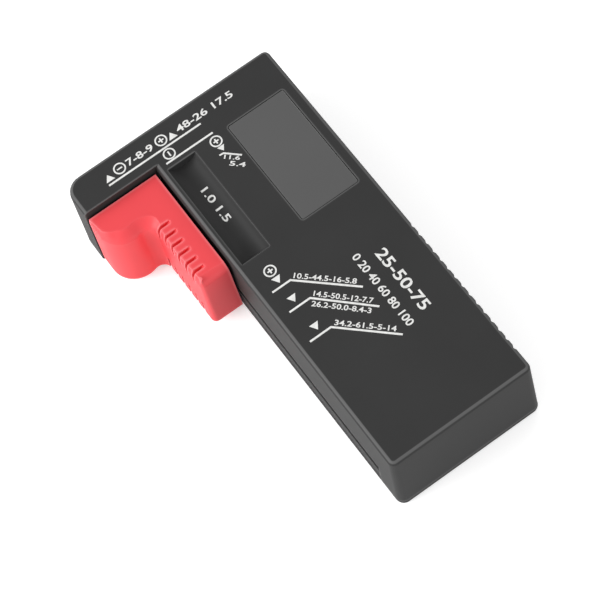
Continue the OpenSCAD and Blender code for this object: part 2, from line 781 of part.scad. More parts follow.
module return_spring() {
    steps = 10;
    count = steps * spring_turns;
    helix = [for (i = [0 : count]) let (a = 360 * i / steps)
        [spring_x + spring_r * sin(a), spring_y0 + (spring_y1 - spring_y0) * i / count,
         spring_z + spring_r * cos(a)]];
    lead = [0, 0.35, spring_r / 2];
    low_loop = [for (a = [-335 : 25 : -60])
        [peg[0] + loop_r * sin(a), peg[1] + loop_r * cos(a), spring_z]];
    high_loop = [for (a = [155 : -25 : -120])
        [post[0] + loop_r * sin(a), post[1] + loop_r * cos(a), spring_z]];
    color(nickel)
        tube(concat(low_loop, [helix[0] - lead], helix,
                    [helix[count] + [lead[0], lead[1], -lead[2]]], high_loop),
             spring_wire, 5, [0, 0, 1]);
}

// ---- wires ----

pad_row_x = board_x0 + 2.5;
pad_row_y = board_y1 - 2;

module wire_cell_minus() {
    hookup_wire([[tab_x, head_y + 3.6, middle_z - 0.85], [tab_x + 2.5, head_y + 5, middle_z - 1.4],
                 [slab_x + 3, head_y + 5.4, middle_z - 2], [slab_x + 9, head_y + 5, middle_z - 2.2],
                 [pad_row_x - 1.2, head_y + 3, board_z0 - 3.6],
                 [pad_row_x - 0.1, pad_row_y + 1.6, board_z0 - 3.2],
                 [pad_row_x, pad_row_y + 0.2, board_z0 - 1.9], [pad_row_x, pad_row_y, board_z0]],
                "#2a2a2a");
}

module wire_cell_plus() {
    start_y = ledge_y1 + sheet + 0.65;
    over_z = rail_z1 + 3.4;
    hookup_wire([[rail_x0 + 0.8, start_y, rail_z1 + 1.2], [rail_x0 + 1, start_y - 0.3, over_z - 0.6],
                 [rail_x1 + 0.2, ledge_y1 - 0.7, over_z], [board_x0 - 3.4, ledge_y1 - 1, over_z - 0.8],
                 [board_x0 - 1.3, ledge_y1 - 0.9, board_z1 - 0.5],
                 [board_x0 - 1, ledge_y1 - 0.7, board_z0 - 1.4],
                 [board_x0 + 0.9, ledge_y1 - 0.4, board_z0 - 2.9],
                 [pad_row_x - 0.1, ledge_y1, board_z0 - 2], [pad_row_x + 0.1, ledge_y1, board_z0]],
                "#b02a2a");
}

module wire_block_minus() {
    solder_z = block_tab_z - sheet - 0.65;
    pad_x = pad_row_x + 2.2;
    hookup_wire([[block_minus_x, y1 - 3.3, solder_z], [block_minus_x + 2.5, y1 - 4.8, solder_z - 0.2],
                 [slab_x - 1, y1 - 5, solder_z - 0.4], [slab_x + 6, y1 - 5, solder_z - 0.8],
                 [pad_x - 3, y1 - 5.6, board_z0 - 1.8], [pad_x - 0.3, y1 - 8, board_z0 - 2.6],
                 [pad_x, pad_row_y + 0.3, board_z0 - 2], [pad_x, pad_row_y, board_z0]], "#2a2a2a");
}

module wire_block_plus() {
    solder_z = block_tab_z - sheet - 0.65;
    pad_x = pad_row_x + 4.8;
    hookup_wire([[block_plus_x, y1 - 3.3, solder_z], [block_plus_x + 2.5, y1 - 3, solder_z - 0.6],
                 [pad_x - 2.8, y1 - 3.2, board_z0 - 0.9], [pad_x - 0.4, y1 - 5.2, board_z0 - 2],
                 [pad_x, y1 - 8.2, board_z0 - 2.6], [pad_x, pad_row_y + 0.3, board_z0 - 2],
                 [pad_x, pad_row_y, board_z0]], "#b02a2a");
}

front_shell();
back_cover();
display_window();
display_glass();
display_holder();
contact_strip();
circuit_board();
controller_blob();
chip_resistors();
chip_capacitors();
load_resistors();
rectifier_diodes();
storage_capacitor();
inductor_core();
inductor_winding();
trimmer_body();
trimmer_rotor();
board_screws();
cell_contact_head();
block_contact_minus();
block_contact_plus();
slider();
cell_contact_slider();
wiper_spring();
contact_rail();
return_spring();
wire_cell_minus();
wire_cell_plus();
wire_block_minus();
wire_block_plus();
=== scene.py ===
"""Dresses a handheld battery tester: moulded shells, printed marks, a sprung red slider, contacts.

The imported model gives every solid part. This script gives each one its material, softens the
moulded edges, prints the marks and winds the return spring, and sets up a plain studio.
Sizes in the classes are millimetres in the row frame; meshes are made in metres.
"""

import logging
import math
from dataclasses import dataclass
from enum import Enum

import bmesh
import bpy
from mathutils import Matrix, Vector
from mathutils.bvhtree import BVHTree


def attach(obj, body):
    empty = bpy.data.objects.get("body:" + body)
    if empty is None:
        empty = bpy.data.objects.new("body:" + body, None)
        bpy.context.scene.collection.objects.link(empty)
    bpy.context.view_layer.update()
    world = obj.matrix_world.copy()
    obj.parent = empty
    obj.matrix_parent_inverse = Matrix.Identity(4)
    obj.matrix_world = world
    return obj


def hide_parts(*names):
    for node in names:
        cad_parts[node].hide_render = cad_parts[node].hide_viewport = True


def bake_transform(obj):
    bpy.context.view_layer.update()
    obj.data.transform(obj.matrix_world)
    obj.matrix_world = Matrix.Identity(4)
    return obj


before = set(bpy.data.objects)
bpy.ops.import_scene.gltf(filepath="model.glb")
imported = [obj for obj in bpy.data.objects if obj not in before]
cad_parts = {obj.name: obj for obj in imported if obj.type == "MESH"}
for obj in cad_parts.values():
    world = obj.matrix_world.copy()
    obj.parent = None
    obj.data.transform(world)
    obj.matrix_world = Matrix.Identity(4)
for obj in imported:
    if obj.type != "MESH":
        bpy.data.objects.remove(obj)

LOG = logging.getLogger("battery_tester")
MM = 0.001
CASE_BODY = "case"

# A Mix node's colour sockets, by index, because its other forms use the same names.
MIX_COLOUR_A = 6
MIX_COLOUR_B = 7
MIX_COLOUR_OUT = 2

Point = tuple[float, float]
Place = tuple[float, float, float]


# ---------------------------------------------------------------- colour and nodes


def srgb(code: str) -> tuple[float, float, float, float]:
    """Turn an sRGB hex colour into the linear colour that shaders take.

    Args:
        code: Six hex digits, with or without a leading "#".

    Returns:
        Linear red, green and blue, with an alpha of 1.
    """
    digits = code.lstrip("#")
    channels = [int(digits[i:i + 2], 16) / 255 for i in (0, 2, 4)]
    linear = [c / 12.92 if c <= 0.04045 else ((c + 0.055) / 1.055) ** 2.4 for c in channels]
    return (*linear, 1.0)


def add_node(tree: bpy.types.NodeTree, kind: str, settings: dict | None = None,
             links: dict | None = None) -> bpy.types.Node:
    """Add a node to a tree, with its settings and what feeds it.

    Args:
        tree: The node tree.
        kind: The node's type, such as "ShaderNodeTexNoise".
        settings: Values by name. The name or index of an input sets that input, any other
            name an attribute.
        links: Sockets by the name or index of the input that each feeds.

    Returns:
        The new node.
    """
    node = tree.nodes.new(kind)
    for name, value in (settings or {}).items():
        if isinstance(name, int) or name in node.inputs:
            node.inputs[name].default_value = value
        else:
            setattr(node, name, value)
    for name, socket in (links or {}).items():
        tree.links.new(socket, node.inputs[name])
    return node


# ---------------------------------------------------------------- finishes


class Metalness(Enum):
    """What a finish is made of, as the shader's metallic value."""

    PLASTIC = 0.0
    METAL = 1.0


class Axis(Enum):
    """A row axis, along which a finish's marks run or follow one another."""

    X = 0
    Y = 1
    Z = 2


# How much of the space just under the surface is plastic, where the painted edge highlight
# starts and where it is full: there is less of it behind an outer edge than behind a face.
HIGHLIGHT_STARTS = 0.93
HIGHLIGHT_FULL = 0.70
HIGHLIGHT_SAMPLES = 8

# The rounding between the face and the walls, by the Z of its normal: the painted highlight
# fades in on the way up from a wall, and out again where the rounding runs into the flat face.
RIM_FADE_IN = (0.55, 0.80)
RIM_FADE_OUT = (0.998, 0.975)
RIM_HEIGHT_FADE_MM = 0.1

# Z of the normal under which a surface counts as facing the back.
FACES_BACK = -0.95

# The part of the slow noise's range over which a colour goes from its darker to its lighter
# end.
MOTTLE_RANGE = (0.3, 0.7)


@dataclass(frozen=True)
class Finish:
    """A surface finish, worked out from what the real material is and how it was made.

    Attributes:
        name: The material's name.
        colour: Its sRGB colour.
        roughness: Mean roughness.
        metalness: Plastic or metal.
        ior: Index of refraction of a plastic or glass; metals keep the default.
        grain_mm: Size of the fine surface grain.
        grain_depth_mm: Depth of that grain.
        mottle_mm: Size of the slow change of colour and roughness over the surface.
        mottle: How far that change goes, from 0 to 1.
        stretch: How far the grain is drawn out along an axis; 1 is even.
        along: The axis that it is drawn out along.
        specular: Strength of a plastic's reflection; 0.5 is that of a smooth surface.
        edge_mm: How far in from an outer edge the painted highlight reaches; 0 leaves the edges
            alone.
        edge: The sRGB colour of the painted edge highlight.
        rim_mm: Height above which the face's rounded rim gets the painted highlight too; 0 for no
            rim.
    """

    name: str
    colour: str
    roughness: float
    metalness: Metalness = Metalness.PLASTIC
    ior: float = 1.5
    grain_mm: float = 0.4
    grain_depth_mm: float = 0.003
    mottle_mm: float = 14.0
    mottle: float = 0.12
    stretch: float = 1.0
    along: Axis = Axis.Y
    specular: float = 0.5
    edge_mm: float = 0.0
    edge: str = "#000000"
    rim_mm: float = 0.0

    def build(self) -> bpy.types.Material:
        """Make the material.

        Returns:
            A material whose colour, roughness and bump follow the place on the object.
        """
        material = bpy.data.materials.new(self.name)
        material.use_nodes = True
        tree = material.node_tree
        tree.nodes.clear()
        shader = add_node(tree, "ShaderNodeBsdfPrincipled", {"Metallic": self.metalness.value})
        if self.metalness is Metalness.PLASTIC:
            shader.inputs["IOR"].default_value = self.ior
            shader.inputs["Specular IOR Level"].default_value = self.specular
        place = add_node(tree, "ShaderNodeTexCoord").outputs["Object"]
        slow = add_node(tree, "ShaderNodeTexNoise",
                        {"Scale": 1 / (self.mottle_mm * MM), "Detail": 4.0},
                        {"Vector": place}).outputs["Fac"]
        rough = add_node(tree, "ShaderNodeMapRange",
                         {"To Min": self.roughness * (1 - self.mottle),
                          "To Max": min(1.0, self.roughness * (1 + self.mottle))},
                         {"Value": slow})
        bump = add_node(tree, "ShaderNodeBump",
                        {"Strength": 1.0, "Distance": self.grain_depth_mm * MM},
                        {"Height": self.relief(tree, place)})
        colour = self.colouring(tree, place, slow)
        # Painted highlight: a lighter colour along the outer edges, and on the face's rim where
        # set.
        if self.edge_mm:
            colour = self.painted_edge_highlight(tree, place, colour)
        tree.links.new(colour, shader.inputs["Base Color"])
        tree.links.new(rough.outputs["Result"], shader.inputs["Roughness"])
        tree.links.new(bump.outputs["Normal"], shader.inputs["Normal"])
        add_node(tree, "ShaderNodeOutputMaterial", {}, {"Surface": shader.outputs["BSDF"]})
        return material

    def painted_edge_highlight(self, tree: bpy.types.NodeTree, place: bpy.types.NodeSocket,
               colour: bpy.types.NodeSocket) -> bpy.types.NodeSocket:
        """Paint a highlight along outer edges, lightening the colour where they would catch the
        light.

        Args:
            tree: The material's node tree.
            place: Coordinates in metres.
            colour: The colour of the flat faces.

        Returns:
            The colour.
        """
        depth = add_node(tree, "ShaderNodeAmbientOcclusion",
                         {"inside": True, "only_local": True, "samples": HIGHLIGHT_SAMPLES,
                          "Distance": self.edge_mm * MM}).outputs["AO"]
        share = add_node(tree, "ShaderNodeMapRange",
                         {"From Min": HIGHLIGHT_STARTS, "From Max": HIGHLIGHT_FULL},
                         {"Value": depth}).outputs["Result"]
        if self.rim_mm:
            share = add_node(tree, "ShaderNodeMath", {"operation": "MAXIMUM"},
                             {0: share, 1: self.rim(tree, place)}).outputs["Value"]
        # The painted highlight's lighter colour, mixed in by the share.
        mix = add_node(tree, "ShaderNodeMix", {"data_type": "RGBA", MIX_COLOUR_B: srgb(self.edge)},
                       {0: share, MIX_COLOUR_A: colour})
        return mix.outputs[MIX_COLOUR_OUT]

    def rim(self, tree: bpy.types.NodeTree,
            place: bpy.types.NodeSocket) -> bpy.types.NodeSocket:
        """Find the upper part of the rounding between the face and the walls, where a highlight is
        painted.

        Args:
            tree: The material's node tree.
            place: Coordinates in metres.

        Returns:
            1 where the rounding has just begun to turn down, 0 elsewhere.
        """
        facing = add_node(tree, "ShaderNodeSeparateXYZ", {}, {
            "Vector": add_node(tree, "ShaderNodeTexCoord").outputs["Normal"]}).outputs["Z"]
        height = add_node(tree, "ShaderNodeSeparateXYZ", {}, {"Vector": place}).outputs["Z"]
        inside = None
        heights = ((self.rim_mm - RIM_HEIGHT_FADE_MM) * MM, self.rim_mm * MM)
        for (start, full), socket in ((RIM_FADE_IN, facing), (RIM_FADE_OUT, facing),
                                      (heights, height)):
            step = add_node(tree, "ShaderNodeMapRange", {"From Min": start, "From Max": full},
                            {"Value": socket}).outputs["Result"]
            inside = step if inside is None else add_node(
                tree, "ShaderNodeMath", {"operation": "MULTIPLY"},
                {0: inside, 1: step}).outputs["Value"]
        return inside

    def relief(self, tree: bpy.types.NodeTree,
               place: bpy.types.NodeSocket) -> bpy.types.NodeSocket:
        """Draw the fine grain, drawn out along an axis where the surface was rolled or brushed.

        Args:
            tree: The material's node tree.
            place: Coordinates in metres.

        Returns:
            The grain's height, from 0 to 1.
        """
        scale = [1.0, 1.0, 1.0]
        scale[self.along.value] = 1.0 / self.stretch
        stretched = add_node(tree, "ShaderNodeMapping", {"Scale": scale}, {"Vector": place})
        noise = add_node(tree, "ShaderNodeTexNoise",
                         {"Scale": 1 / (self.grain_mm * MM), "Detail": 2.0},
                         {"Vector": stretched.outputs["Vector"]})
        return noise.outputs["Fac"]

    def colouring(self, tree: bpy.types.NodeTree, place: bpy.types.NodeSocket,
                  slow: bpy.types.NodeSocket) -> bpy.types.NodeSocket:
        """Work out the colour, a little lighter and darker over the surface.

        Args:
            tree: The material's node tree.
            place: Coordinates in metres; not used here.
            slow: The slow change over the surface, from 0 to 1.

        Returns:
            The colour.
        """
        return self.varied(tree, self.colour, slow)

    def varied(self, tree: bpy.types.NodeTree, code: str,
               slow: bpy.types.NodeSocket) -> bpy.types.NodeSocket:
        """Vary one colour over the surface.

        Args:
            tree: The material's node tree.
            code: The sRGB colour.
            slow: The slow change over the surface, from 0 to 1.

        Returns:
            The colour.
        """
        base = srgb(code)
        swing = self.mottle * 0.5
        ramp = add_node(tree, "ShaderNodeValToRGB", {}, {"Fac": slow})
        low, high = ramp.color_ramp.elements
        low.position, high.position = MOTTLE_RANGE
        low.color = [c * (1 - swing) for c in base[:3]] + [1.0]
        high.color = [min(1.0, c * (1 + swing)) for c in base[:3]] + [1.0]
        return ramp.outputs["Color"]


@dataclass(frozen=True)
class StripedFinish(Finish):
    """A finish with even stripes of a second colour, such as wound wire or printed bands.

    Attributes:
        stripe: The second sRGB colour.
        pitch_mm: Distance from stripe to stripe.
        share: Share of the pitch that the second colour takes.
        across: The axis that the stripes follow one another along.
    """

    stripe: str = "#000000"
    pitch_mm: float = 1.0
    share: float = 0.5
    across: Axis = Axis.Y

    def colouring(self, tree: bpy.types.NodeTree, place: bpy.types.NodeSocket,
                  slow: bpy.types.NodeSocket) -> bpy.types.NodeSocket:
        """Work out the two colours in stripes.

        Args:
            tree: The material's node tree.
            place: Coordinates in metres.
            slow: The slow change over the surface, from 0 to 1.

        Returns:
            The colour.
        """
        split = add_node(tree, "ShaderNodeSeparateXYZ", {}, {"Vector": place})
        turns = add_node(tree, "ShaderNodeMath", {"operation": "DIVIDE", 1: self.pitch_mm * MM},
                         {0: split.outputs[self.across.value]})
        phase = add_node(tree, "ShaderNodeMath", {"operation": "FRACT"},
                         {0: turns.outputs["Value"]})
        inside = add_node(tree, "ShaderNodeMath", {"operation": "LESS_THAN", 1: self.share},
                          {0: phase.outputs["Value"]})
        mix = add_node(tree, "ShaderNodeMix", {"data_type": "RGBA"},
                       {0: inside.outputs["Value"],
                        MIX_COLOUR_A: self.varied(tree, self.colour, slow),
                        MIX_COLOUR_B: self.varied(tree, self.stripe, slow)})
        return mix.outputs[MIX_COLOUR_OUT]


@dataclass(frozen=True)
class EngravedFinish(Finish):
    """A moulded finish whose grooves in the back are darker, with painted shade.

    Attributes:
        groove: The sRGB colour of the painted shade in the grooves.
        groove_from_mm: Lowest height of a groove's floor over the back face.
        groove_to_mm: Highest height of a groove's floor over the back face.
    """

    groove: str = "#000000"
    groove_from_mm: float = 0.12
    groove_to_mm: float = 0.6

    def colouring(self, tree: bpy.types.NodeTree, place: bpy.types.NodeSocket,
                  slow: bpy.types.NodeSocket) -> bpy.types.NodeSocket:
        """Work out the colour, with painted shade on the floor of each groove.

        Args:
            tree: The material's node tree.
            place: Coordinates in metres.
            slow: The slow change over the surface, from 0 to 1.

        Returns:
            The colour.
        """
        height = add_node(tree, "ShaderNodeSeparateXYZ", {}, {"Vector": place}).outputs["Z"]
        facing = add_node(tree, "ShaderNodeSeparateXYZ", {}, {
            "Vector": add_node(tree, "ShaderNodeTexCoord").outputs["Normal"]}).outputs["Z"]
        tests = [("GREATER_THAN", self.groove_from_mm * MM, height),
                 ("LESS_THAN", self.groove_to_mm * MM, height),
                 ("LESS_THAN", FACES_BACK, facing)]
        inside = None
        for operation, limit, socket in tests:
            test = add_node(tree, "ShaderNodeMath", {"operation": operation, 1: limit},
                            {0: socket}).outputs["Value"]
            inside = test if inside is None else add_node(
                tree, "ShaderNodeMath", {"operation": "MULTIPLY"},
                {0: inside, 1: test}).outputs["Value"]
        # Painted shade: the floors of the grooves take the darker colour.
        mix = add_node(tree, "ShaderNodeMix", {"data_type": "RGBA"},
                       {0: inside, MIX_COLOUR_A: self.varied(tree, self.colour, slow),
                        MIX_COLOUR_B: self.varied(tree, self.groove, slow)})
        return mix.outputs[MIX_COLOUR_OUT]


# Black ABS, injection moulded in a spark-eroded tool: dark grey, with its sheen broken up by
# the tool's texture, so that only the edges catch the light; that light is a painted highlight,
# a lighter grey along the edges and the face's rim. The 0.1 mm grain is drawn at 0.45 mm to show.
CASE_PLASTIC = Finish("black_abs_moulded", "#383838", 0.56, ior=1.53, grain_mm=0.45,
                      grain_depth_mm=0.004, mottle_mm=18.0, mottle=0.10, specular=0.08,
                      edge_mm=0.5, edge="#616161", rim_mm=23.6)

# The same ABS from the cover's own tool, a touch rougher, with a painted highlight along its
# edges and painted shade in the grooves of its table.
COVER_PLASTIC = EngravedFinish("black_abs_cover", "#383838", 0.58, ior=1.53, grain_mm=0.45,
                               grain_depth_mm=0.004, mottle_mm=18.0, mottle=0.10,
                               specular=0.08, edge_mm=0.5, edge="#585858", groove="#161616")

# Smoked acrylic sheet over the display: an even, glossy mid grey with a faint haze.
WINDOW_ACRYLIC = Finish("smoked_acrylic_sheet", "#505050", 0.20, ior=1.49, grain_mm=3.0,
                        grain_depth_mm=0.0015, mottle_mm=22.0, mottle=0.06)

# Float glass of the display with its polariser glued on: grey-green and mirror smooth.
DISPLAY_GLASS = Finish("polarised_float_glass", "#8d9684", 0.08, ior=1.52, grain_mm=4.0,
                       grain_depth_mm=0.0005, mottle_mm=20.0, mottle=0.05)

# White ABS of the display's holder and the trimmer's middle: plain, a little yellowed and matt.
HOLDER_PLASTIC = Finish("white_abs_holder", "#dedbd2", 0.55, ior=1.53, grain_mm=0.6,
                        grain_depth_mm=0.003, mottle_mm=12.0, mottle=0.08)

# Conductive rubber: black carbon layers between pale ones, 0.18 mm thick, as fine stripes.
STRIP_RUBBER = StripedFinish("zebra_silicone_rubber", "#b9a9a2", 0.65, ior=1.41, grain_mm=0.3,
                             grain_depth_mm=0.004, mottle_mm=6.0, mottle=0.08,
                             stripe="#1a1817", pitch_mm=0.36, share=0.5, across=Axis.Y)

# Fibreglass board under green solder mask: glossy lacquer over 0.5 mm threads, with the weave's
# light and dark bands drawn 1.9 mm apart to show.
BOARD_LAMINATE = StripedFinish("solder_masked_laminate", "#1d5a34", 0.32, ior=1.55,
                               grain_mm=0.5, grain_depth_mm=0.006, mottle_mm=9.0, mottle=0.18,
                               stripe="#22683c", pitch_mm=1.9, share=0.35, across=Axis.Y)

# Epoxy dropped on the chip: black, glossy, with slow waves where it ran.
BLOB_EPOXY = Finish("black_epoxy_blob", "#121212", 0.22, ior=1.56, grain_mm=2.2,
                    grain_depth_mm=0.03, mottle_mm=5.0, mottle=0.15)

# Chip resistors: alumina under black glass, smooth and a little glossy.
CHIP_GLASS = Finish("glazed_alumina_black", "#1a1a1c", 0.30, ior=1.6, grain_mm=0.3,
                    grain_depth_mm=0.003, mottle_mm=1.5, mottle=0.2)

# Chip capacitors: fired titanate, a warm brown with a dull glaze.
CHIP_CERAMIC = Finish("fired_titanate_tan", "#a5794f", 0.42, ior=1.6, grain_mm=0.3,
                      grain_depth_mm=0.004, mottle_mm=1.5, mottle=0.2)

# Leaded resistors: dipped lacquer with printed bands, 1.3 mm apart.
RESISTOR_LACQUER = StripedFinish("dipped_resistor_lacquer", "#c9a878", 0.38, ior=1.5,
                                 grain_mm=0.8, grain_depth_mm=0.006, mottle_mm=3.0,
                                 mottle=0.12, stripe="#6b2f1c", pitch_mm=1.3, share=0.28,
                                 across=Axis.Y)

# Diodes: moulded black epoxy with narrow white bands, 5.2 mm apart, so one on each diode.
DIODE_EPOXY = StripedFinish("moulded_diode_epoxy", "#1b1b1c", 0.40, ior=1.55, grain_mm=0.4,
                            grain_depth_mm=0.004, mottle_mm=2.5, mottle=0.12,
                            stripe="#c8c8c4", pitch_mm=5.2, share=0.12, across=Axis.Y)

# Shrunk PVC sleeve on the storage capacitor: blue, glossy, with a pale stripe for minus.
SLEEVE_PVC = StripedFinish("shrunk_pvc_sleeve", "#24407c", 0.28, ior=1.54, grain_mm=1.5,
                           grain_depth_mm=0.008, mottle_mm=4.0, mottle=0.10,
                           stripe="#9fb0cf", pitch_mm=9.0, share=0.14, across=Axis.X)

# Sintered ferrite: dark grey, dry and faintly granular.
FERRITE = Finish("sintered_ferrite", "#34332f", 0.62, ior=1.8, grain_mm=0.25,
                 grain_depth_mm=0.008, mottle_mm=3.0, mottle=0.18)

# Enamelled copper wire: warm metal; the gaps between 0.45 mm turns are painted shade, as dark
# lines.
COPPER_WINDING = StripedFinish("enamelled_copper_wire", "#b5622e", 0.30, Metalness.METAL,
                               grain_mm=0.45, grain_depth_mm=0.02, mottle_mm=3.0,
                               mottle=0.10, stripe="#4a2412", pitch_mm=0.45, share=0.25,
                               across=Axis.Z)

# Trimmer: glass-filled blue plastic, slightly fibrous.
TRIMMER_PLASTIC = Finish("glass_filled_blue_nylon", "#2456a6", 0.45, ior=1.53, grain_mm=0.5,
                         grain_depth_mm=0.005, mottle_mm=3.0, mottle=0.12)

# Zinc plated steel screws: cool bright metal with a faint turned grain.
ZINC_STEEL = Finish("zinc_plated_steel", "#b9bcbf", 0.30, Metalness.METAL, grain_mm=0.25,
                    grain_depth_mm=0.003, mottle_mm=2.0, mottle=0.20)

# Nickel plated spring steel: pressed from strip, so its grain runs with the strip.
NICKEL_STRIP = Finish("nickel_plated_strip", "#c4c0b6", 0.26, Metalness.METAL, grain_mm=0.2,
                      grain_depth_mm=0.003, mottle_mm=5.0, mottle=0.22, stretch=12.0,
                      along=Axis.X)

# Phosphor bronze: a reddish gold, rolled along the strip.
BRONZE_STRIP = Finish("phosphor_bronze_strip", "#b5794a", 0.30, Metalness.METAL, grain_mm=0.2,
                      grain_depth_mm=0.003, mottle_mm=4.0, mottle=0.20, stretch=12.0,
                      along=Axis.Y)

# Rolled brass rail: yellow metal with fine draw lines along the rail.
BRASS_STRIP = Finish("rolled_brass_strip", "#c9a352", 0.28, Metalness.METAL, grain_mm=0.2,
                     grain_depth_mm=0.003, mottle_mm=6.0, mottle=0.20, stretch=20.0,
                     along=Axis.Y)

# Hard-drawn spring wire, nickel plated: bright, with draw lines too fine to see as lines.
SPRING_WIRE = Finish("drawn_spring_wire", "#b4b4b2", 0.24, Metalness.METAL, grain_mm=0.3,
                     grain_depth_mm=0.002, mottle_mm=3.0, mottle=0.18)

# PVC insulation, extruded: waxy and slightly uneven.
WIRE_PVC_BLACK = Finish("black_pvc_insulation", "#1d1d1e", 0.42, ior=1.53, grain_mm=0.8,
                        grain_depth_mm=0.008, mottle_mm=4.0, mottle=0.15)
WIRE_PVC_RED = Finish("red_pvc_insulation", "#a3201f", 0.42, ior=1.53, grain_mm=0.8,
                      grain_depth_mm=0.008, mottle_mm=4.0, mottle=0.15)

# Red ABS, moulded: saturated and even, with a painted highlight, a lighter red, on its edges and
# roundings.
SLIDER_PLASTIC = Finish("red_abs_moulded", "#ed4249", 0.56, ior=1.53, grain_mm=0.5,
                        grain_depth_mm=0.003, mottle_mm=16.0, mottle=0.06, edge_mm=0.8,
                        edge="#f56f74")

# White screen printing ink, 0.012 mm thick: flat, a little grey where the film is thin.
PRINT_INK = Finish("white_screen_ink", "#e9e9e7", 0.55, ior=1.5, grain_mm=0.35,
                   grain_depth_mm=0.003, mottle_mm=1.2, mottle=0.22)

# Pad printed marks on the back: dark ink, hardly darker than the plastic round it.
DARK_INK = Finish("dark_pad_ink", "#0d0d0e", 0.60, ior=1.5, grain_mm=0.35,
                  grain_depth_mm=0.003, mottle_mm=1.2, mottle=0.20)


class Palette:
    """Makes each finish's material once and hands it out."""

    def __init__(self) -> None:
        """Start with no material made."""
        self._made: dict[str, bpy.types.Material] = {}

    def of(self, finish: Finish) -> bpy.types.Material:
        """Give a finish's material.

        Args:
            finish: The finish.

        Returns:
            Its material, the same one each time.
        """
        if finish.name not in self._made:
            self._made[finish.name] = finish.build()
        return self._made[finish.name]


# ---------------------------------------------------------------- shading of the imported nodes


# Corners nearer than this, in metres, are one, and faces that bend less than this lie flat.
WELD_M = 1e-6
FLAT_DEG = 0.5

# Faces across a small rounding, and how far large faces outweigh it in the shading.
ROUNDING_STEPS = 2
FACE_WEIGHT = 100


def edge_group(name: str, degrees: float) -> bpy.types.NodeTree:
    """Make a geometry group that shades smooth, except over edges sharper than an angle.

    Args:
        name: The group's name.
        degrees: Edges that bend more than this stay sharp.

    Returns:
        The group.
    """
    group = bpy.data.node_groups.new(name, "GeometryNodeTree")
    group.interface.new_socket("Geometry", in_out="INPUT", socket_type="NodeSocketGeometry")
    group.interface.new_socket("Geometry", in_out="OUTPUT", socket_type="NodeSocketGeometry")
    start = add_node(group, "NodeGroupInput")
    bare = add_node(group, "GeometryNodeRemoveAttribute", {"Name": "custom_normal"},
                    {"Geometry": start.outputs["Geometry"]})
    joined = add_node(group, "GeometryNodeMergeByDistance", {"Distance": WELD_M},
                      {"Geometry": bare.outputs["Geometry"]})
    smooth = add_node(group, "GeometryNodeSetShadeSmooth",
                      {"domain": "FACE", "Shade Smooth": True},
                      {"Geometry": joined.outputs["Geometry"]})
    angle = add_node(group, "GeometryNodeInputMeshEdgeAngle")
    sharp = add_node(group, "FunctionNodeCompare",
                     {"operation": "GREATER_THAN", "B": math.radians(degrees)},
                     {"A": angle.outputs["Unsigned Angle"]})
    edges = add_node(group, "GeometryNodeSetShadeSmooth",
                     {"domain": "EDGE", "Shade Smooth": False},
                     {"Geometry": smooth.outputs["Geometry"],
                      "Selection": sharp.outputs["Result"]})
    add_node(group, "NodeGroupOutput", {}, {"Geometry": edges.outputs["Geometry"]})
    return group


@dataclass(frozen=True)
class EdgeCare:
    """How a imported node's edges are shaded and softened.

    Attributes:
        smooth_deg: Edges that bend more than this are sharp.
        radius_mm: Radius of the small rounding on sharp edges; 0 leaves them as they are.
        rounding_deg: Edges that bend more than this get the rounding.
    """

    smooth_deg: float = 30.0
    radius_mm: float = 0.0
    rounding_deg: float = 50.0

    def apply(self, node: bpy.types.Object) -> None:
        """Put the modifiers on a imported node.

        Args:
            node: The node's object.
        """
        weld = node.modifiers.new("joined_faces", "NODES")
        weld.node_group = edge_group(f"{node.name}_joined", self.smooth_deg)
        flat = node.modifiers.new("flat_faces", "DECIMATE")
        flat.decimate_type = "DISSOLVE"
        flat.angle_limit = math.radians(FLAT_DEG)
        if self.radius_mm:
            soft = node.modifiers.new("soft_edges", "BEVEL")
            soft.width = self.radius_mm * MM
            soft.segments = ROUNDING_STEPS
            soft.limit_method = "ANGLE"
            soft.angle_limit = math.radians(self.rounding_deg)
            soft.use_clamp_overlap = True
        shade = node.modifiers.new("smooth_by_angle", "NODES")
        shade.node_group = edge_group(f"{node.name}_shaded", self.smooth_deg)
        weighted = node.modifiers.new("flat_face_normals", "WEIGHTED_NORMAL")
        weighted.keep_sharp = True
        weighted.weight = FACE_WEIGHT


# Edges as they are made: moulded or pressed, polished sheet, worn by the hand, round work.
MOULDED = EdgeCare(radius_mm=0.15)
PRESSED = EdgeCare(radius_mm=0.05)
POLISHED = EdgeCare(radius_mm=0.3)
HANDLED = EdgeCare(smooth_deg=17.0, radius_mm=0.35, rounding_deg=60.0)
TURNED = EdgeCare(smooth_deg=32.0)
ROUND = EdgeCare(smooth_deg=60.0)


@dataclass(frozen=True)
class Dressing:
    """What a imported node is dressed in.

    Attributes:
        node: The node's name.
        finish: Its finish.
        care: How its edges are shaded.
    """

    node: str
    finish: Finish
    care: EdgeCare

    def put_on(self, palette: Palette) -> None:
        """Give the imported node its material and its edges.

        Args:
            palette: Where materials come from.
        """
        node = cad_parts[self.node]
        node.data.materials.clear()
        node.data.materials.append(palette.of(self.finish))
        self.care.apply(node)
        LOG.info("dressed %s in %s", self.node, self.finish.name)


@dataclass
class SubAssembly:
    """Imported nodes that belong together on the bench.

    Attributes:
        dressings: What each node is dressed in.
    """

    dressings: tuple[Dressing, ...] = ()

    def build(self, palette: Palette) -> None:
        """Dress the nodes in order.

        Args:
            palette: Where materials come from.
        """
        for dressing in self.dressings:
            dressing.put_on(palette)


def mesh_piece(name: str, bm: bmesh.types.BMesh, material: bpy.types.Material) -> bpy.types.Object:
    """Turn a bmesh into an object of the scene.

    Args:
        name: The piece's name.
        bm: Its mesh, in metres in the row frame. It is freed.
        material: Its material.

    Returns:
        The new object.
    """
    mesh = bpy.data.meshes.new(name)
    bm.to_mesh(mesh)
    bm.free()
    mesh.materials.append(material)
    piece = bpy.data.objects.new(name, mesh)
    bpy.context.scene.collection.objects.link(piece)
    return piece


# ---------------------------------------------------------------- printing


class Side(Enum):
    """The side of the case that a print lies on, as the sign of its outward Z."""

    FACE = 1.0
    BACK = -1.0


